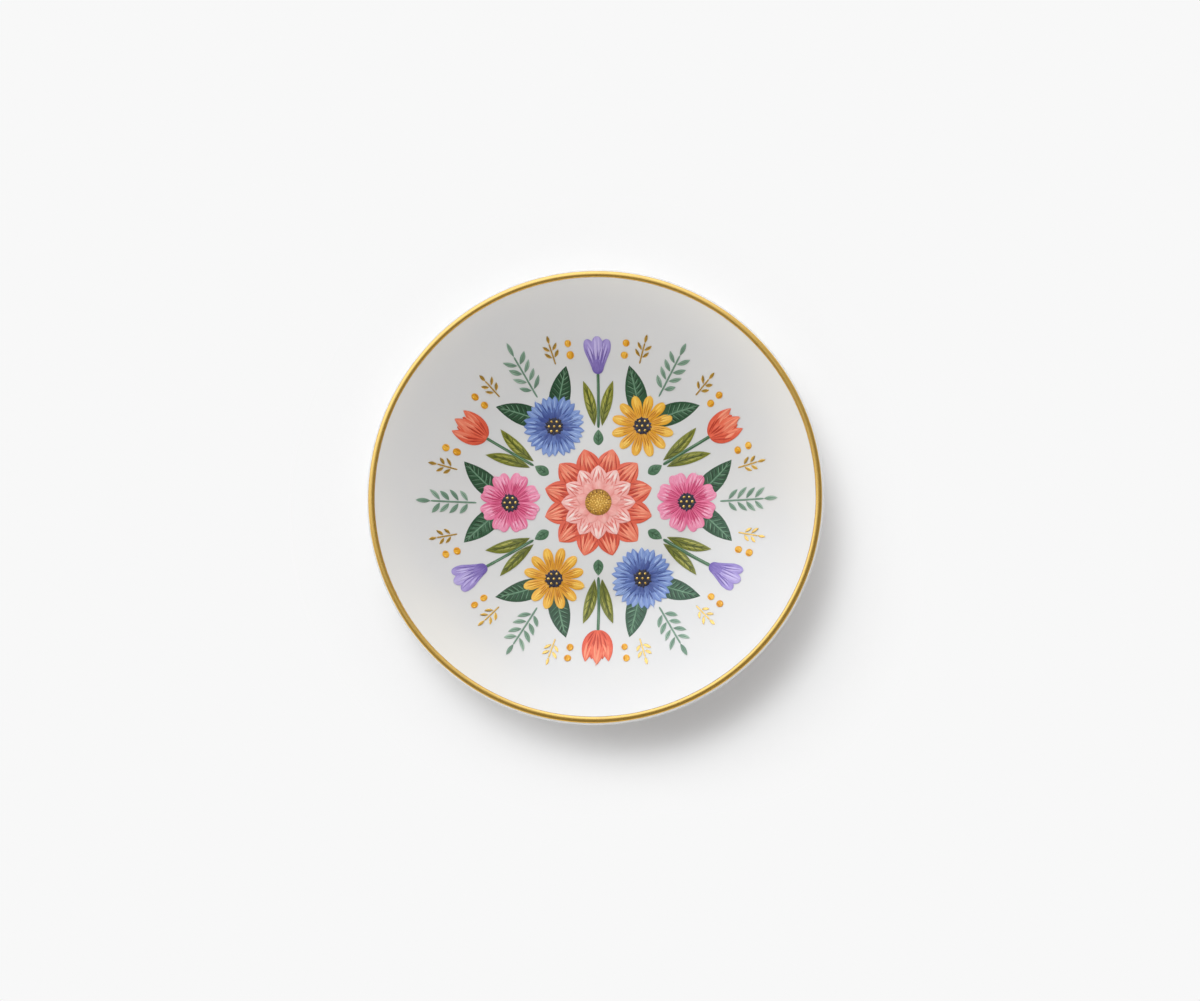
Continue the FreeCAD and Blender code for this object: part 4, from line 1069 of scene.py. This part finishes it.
class PaintLeaves(DishOperator):
    """Paint the stems and all leaves"""
    bl_idname = "ring_dish.paint_leaves"
    bl_label = "Stems and leaves"

    def execute(self, context):
        bench = Bench(context, 41)
        rng, coat, paint = bench.rng, bench.coat, bench.paint
        mids = spokes_of(6, 30)

        stems = bench.strokes(bar_outline, around(mids, paint.stem_start), 2, length=0.0127, width=0.0007,
                              tone=0.4, fade=0.2)
        stems.vary(rng, bend=0.05, width=0.08)
        sheen = stems.marks_on([(0.05, 0.2, 0.5, 0.3), (0.45, 0.3, 0.97, 0.2)], width=0.00018, tone=0.85,
                               above=coat)
        bench.lay("flower_stems", "leaf_green_enamel", [stems, sheen], 12)

        leaves = bench.strokes(cup_outline, around(mids, paint.collar), 1, length=0.0036, width=0.0023,
                               tone=0.5, fade=0.2)
        veins = leaves.marks_on([(0.05, 0, 0.95, 0), (0.25, 0, 0.5, 0.7), (0.25, 0, 0.5, -0.7),
                                 (0.5, 0, 0.72, 0.7), (0.5, 0, 0.72, -0.7)], width=0.0002, tone=0.1,
                                above=coat)
        veins.vary(rng, tone=0.08, width=0.2)
        bench.lay("collar_leaves", "leaf_green_enamel", [leaves, veins], 13)

        places = around(mids, paint.stem_start + 0.0005, aside=(0.00085, -0.00085),
                        lean=np.radians((14, -14)))
        leaves = bench.strokes(leaf_outline, places, 2, length=0.0105, width=0.0026, bend=(0.25, -0.25),
                               tone=0.48, fade=0.2)
        leaves.vary(rng, tone=0.06, bend=0.06, width=0.05)
        step = np.arange(1, 6) / 6.5
        rib = leaves.marks_on([(0.02, 0, 0.97, 0)], width=0.0003, tone=0.1, above=2 * coat)
        veins = leaves.marks_on(feathered(step - 0.06, 0, step + 0.1, 0.8), width=0.00022, tone=0.12,
                                above=coat)
        lights = leaves.marks_on([(0.3, 0.6, 0.8, 0.5), (0.35, -0.6, 0.85, -0.5)], width=0.0004, tone=0.88,
                                 above=0.8 * coat)
        for marks in (veins, lights):
            marks.vary(rng, tone=0.08, width=0.2, length=0.1)
        bench.lay("lance_leaves", "olive_enamel", [leaves, lights, veins, rib], 14)

        places = around(blooms(paint, 0, 60), 0, lean=np.radians((42, -42)))
        leaves = bench.strokes(leaf_outline, places, 0, length=paint.dark_leaf, width=0.0048,
                               bend=(0.2, -0.2), tone=0.42, fade=0.1, rim=-0.15)
        leaves.vary(rng, tone=0.05, bend=0.06)
        step = np.linspace(0.44, 0.84, 6)
        rib = leaves.marks_on([(0.3, 0, 0.98, 0)], width=0.00032, tone=0.85, above=1.5 * coat)
        veins = leaves.marks_on(feathered(step, 0, step + 0.1, 0.84), width=0.00024, tone=0.74, above=coat,
                                bend=0.25)
        shade = leaves.marks_on(feathered(step + 0.03, 0.1, step + 0.12, 0.8), width=0.00036, tone=0.1,
                                above=0.7 * coat)
        for marks in (veins, shade):
            marks.vary(rng, tone=0.08, width=0.2, length=0.08)
        bench.lay("dark_leaves", "dark_green_enamel", [leaves, shade, veins, rib], 15)
        return {"FINISHED"}


class PaintSprigs(DishOperator):
    """Paint the ferns, the gold twigs and the berries"""
    bl_idname = "ring_dish.paint_sprigs"
    bl_label = "Sprigs and berries"

    def sprig(self, bench, spokes, base, pairs, spacing, length, width, lean, stem):
        """A stem, leaflets in pairs along it and one at its end."""
        top = base + spacing * (pairs + 1)
        stems = bench.strokes(bar_outline, around(spokes, base), 2, length=top - base, width=stem,
                              tone=0.35)
        out = np.append(base + spacing * np.repeat(np.arange(1, pairs + 1), 2), top)
        side = np.append(np.tile((1, -1), pairs), 0)
        gap = stem / 2 + 0.00012
        places = around(spokes, out, side * gap, side * math.radians(lean))
        leaflets = bench.strokes(leaf_outline, places, 2.4, length=length, width=width, bend=-0.35 * side,
                                 tone=0.5, fade=0.25)
        leaflets.vary(bench.rng, tone=0.08, length=0.06, heading=0.05, width=0.06)
        return stems, leaflets

    def execute(self, context):
        bench = Bench(context, 53)
        coat, paint = bench.coat, bench.paint

        stems, leaflets = self.sprig(bench, spokes_of(6), paint.fern_base, pairs=4, spacing=0.002,
                                     length=0.003, width=0.001, lean=50, stem=0.0004)
        rib = leaflets.marks_on([(0.05, 0, 0.9, 0)], width=0.00016, tone=0.15, above=coat)
        bench.lay("fern_sprigs", "sage_enamel", [stems, leaflets, rib], 16)

        stems, leaflets = self.sprig(bench, spokes_beside(13), paint.twig_base, pairs=2, spacing=0.0015,
                                     length=0.0019, width=0.0007, lean=45, stem=0.00035)
        leaflets.tone += 0.15
        stems.tone += 0.2
        bench.lay("gold_twigs", "gilding", [stems, leaflets], 17)

        out = np.add(paint.berry_base, (0.0, 0.0026))
        berries = bench.dabs(spokes_beside(19.5), out, 0.0008, 2, coats=1.5, tone=0.48, rim=-0.2)
        berries.vary(bench.rng, tone=0.08, length=0.06, width=0.06)
        glint = berries.marks_on([(0.5, 0.45, 0.8, 0.45)], width=0.00026, tone=0.97, above=1.6 * coat,
                                 outline=dot_outline)
        dusk = berries.marks_on([(0.1, -0.6, 0.8, -0.75)], width=0.00036, tone=0.08, above=0.9 * coat)
        bench.lay("ochre_berries", "yellow_enamel", [berries, dusk, glint], 18)
        return {"FINISHED"}


def heading_to(side, height):
    """The direction at an angle round from +X and an angle up."""
    return Vector((math.cos(height) * math.cos(side), math.cos(height) * math.sin(side),
                   math.sin(height)))


class SetStage(DishOperator):
    """Set up the floor, the lamps and the camera"""
    bl_idname = "ring_dish.set_stage"
    bl_label = "Stage"

    def pale_paper(self, studio):
        """Matt paper that takes the dish's shadow and goes over into an even backdrop around it.

        The even part begins round the rim, and outside a round patch where the shadow falls.
        """
        paper, tree, shader = new_material("Pale paper")
        fill(tree, shader, {"Base Color": (*studio.floor, 1), "Roughness": 1.0, "Specular IOR Level": 0.0})
        place = own_place(tree)
        shade = SHADE_OUT * heading_to(studio.shade_side, 0.0)
        around_dish, around_shade = (
            carried(tree, reckon_vector(tree, "DISTANCE", place, centre, "Value"), fade, 0, 1, smooth=True)
            for centre, fade in ((Vector(), DISH_FADE), (shade, SHADE_FADE)))
        ray = add_node(tree, "ShaderNodeLightPath").outputs
        seen = reckon(tree, "MAXIMUM", ray["Is Camera Ray"], ray["Is Glossy Ray"])
        even = reckon(tree, "MULTIPLY", reckon(tree, "MULTIPLY", around_dish, around_shade), seen)
        glow = add_node(tree, "ShaderNodeEmission", {"Color": WHITE, "Strength": studio.backdrop})
        fill(tree, tree.nodes["Material Output"],
             {"Surface": mixed(tree, even, shader.outputs[0], glow.outputs[0])})
        return paper

    def lay_paper(self, scene, studio):
        """One large square under the dish."""
        mesh = bpy.data.meshes.new("paper")
        corners = PAPER_HALF * np.array(((-1, -1, 0), (1, -1, 0), (1, 1, 0), (-1, 1, 0)))
        mesh.from_pydata(corners.tolist(), [], [(0, 1, 2, 3)])
        mesh.materials.append(self.pale_paper(studio))
        floor = bpy.data.objects.new("paper", mesh)
        scene.collection.objects.link(floor)

    def light_room(self, scene, studio):
        """Pale walls with a bright and a dim side, and what shiny surfaces see instead: a white card
        in a warm room. The camera sees the plain backdrop."""
        world = bpy.data.worlds.new("Studio")
        world.use_nodes = True
        tree = world.node_tree
        look = own_place(tree)

        def toward(way, fade, low, high):
            """Goes from low to high as the look turns towards a way."""
            facing = reckon_vector(tree, "DOT_PRODUCT", look, way, "Value")
            return carried(tree, facing, fade, low, high, smooth=True)

        wall = toward((0, 0, 1), WALL_FADE, studio.wall_light + studio.room_light, studio.room_light)
        side = toward(heading_to(studio.side, studio.side_height), SIDE_FADE, 0, studio.side_light)
        dim = toward(heading_to(studio.dim_side, studio.dim_height), DIM_FADE, 1, studio.dim_share)
        matt = reckon(tree, "MULTIPLY_ADD", wall, dim, side)
        card = heading_to(studio.lamp_side, studio.card_height)
        shine = toward(card, CARD_FADE, studio.room_shine, studio.card_light)
        tint = shades(tree, toward(card, CARD_FADE, 0, 1), ((0, studio.room_tint), (1, studio.card_tint)))
        room = tree.nodes["Background"]
        fill(tree, room, {"Color": (*studio.sky, 1), "Strength": matt})
        shiny = add_node(tree, "ShaderNodeBackground",
                         {"Color": tint, "Strength": reckon(tree, "MAXIMUM", shine, matt)})
        plain = add_node(tree, "ShaderNodeBackground", {"Color": WHITE, "Strength": studio.backdrop})
        ray = add_node(tree, "ShaderNodeLightPath").outputs
        lit = mixed(tree, ray["Is Glossy Ray"], room.outputs[0], shiny.outputs[0])
        fill(tree, tree.nodes["World Output"],
             {"Surface": mixed(tree, ray["Is Camera Ray"], lit, plain.outputs[0])})
        scene.world = world

    def hang_lamps(self, scene, studio):
        """A nest of soft discs that face the dish, brighter towards their middle."""
        way = heading_to(studio.lamp_side, studio.lamp_height)
        for number, part in enumerate(LAMP_NEST):
            lamp = bpy.data.lights.new(f"soft_lamp_{number}", "AREA")
            lamp.shape = "DISK"
            lamp.size = studio.lamp_size * part
            lamp.energy = studio.lamp_power / len(LAMP_NEST)
            lamp.color = studio.lamp
            holder = bpy.data.objects.new(lamp.name, lamp)
            holder.visible_glossy = False
            holder.location = way * (studio.lamp_distance - NEST_GAP * number)
            holder.rotation_euler = way.to_track_quat("Z", "Y").to_euler()
            scene.collection.objects.link(holder)

    def place_camera(self, scene, studio):
        """A camera that looks down at the dish, with +Y up in the picture."""
        lens = bpy.data.cameras.new("camera")
        lens.lens = studio.lens * MILLIMETRES
        lens.sensor_width = SENSOR
        lens.clip_start = NEAREST
        lens.dof.use_dof = False
        back = Vector(studio.view_from).normalized()
        right = Vector((0, 1, 0)).cross(back).normalized()
        turned = Matrix((right, back.cross(right), back)).transposed().to_4x4()
        camera = bpy.data.objects.new("camera", lens)
        camera.matrix_world = Matrix.Translation(Vector(studio.aim) + back * studio.distance) @ turned
        scene.collection.objects.link(camera)
        scene.camera = camera

    def execute(self, context):
        scene = context.scene
        studio = scene.ring_dish_studio
        self.lay_paper(scene, studio)
        self.light_room(scene, studio)
        self.hang_lamps(scene, studio)
        self.place_camera(scene, studio)
        scene.view_settings.view_transform = "Standard"
        return {"FINISHED"}


OPERATORS = (TurnBody, LayGlaze, GildLip, PaintDahlia, PaintBlooms, PaintHeads, PaintLeaves,
             PaintSprigs, SetStage)
GROUPS = {"ring_dish_sizes": DishSizes, "ring_dish_paint": PaintSizes,
          "ring_dish_colours": PaintColours, "ring_dish_studio": StudioSettings}


class DishPanel(bpy.types.Panel):
    """The steps of making the dish, in order"""
    bl_idname = "VIEW3D_PT_ring_dish"
    bl_label = "Ring dish"
    bl_space_type = "VIEW_3D"
    bl_region_type = "UI"
    bl_category = "Ring dish"

    def draw(self, context):
        for operator in OPERATORS:
            self.layout.operator(operator.bl_idname)


def register():
    for group in GROUPS.values():
        bpy.utils.register_class(group)
    for name, group in GROUPS.items():
        setattr(bpy.types.Scene, name, PointerProperty(type=group))
    for item in (*OPERATORS, DishPanel):
        bpy.utils.register_class(item)


def unregister():
    for item in (DishPanel, *reversed(OPERATORS)):
        bpy.utils.unregister_class(item)
    for name, group in GROUPS.items():
        delattr(bpy.types.Scene, name)
        bpy.utils.unregister_class(group)


def main():
    register()
    steps = bpy.ops.ring_dish
    steps.turn_body()
    steps.lay_glaze()
    steps.gild_lip()
    steps.paint_dahlia()
    steps.paint_blooms()
    steps.paint_heads()
    steps.paint_leaves()
    steps.paint_sprigs()
    steps.set_stage()


if __name__ == "__main__":
    main()
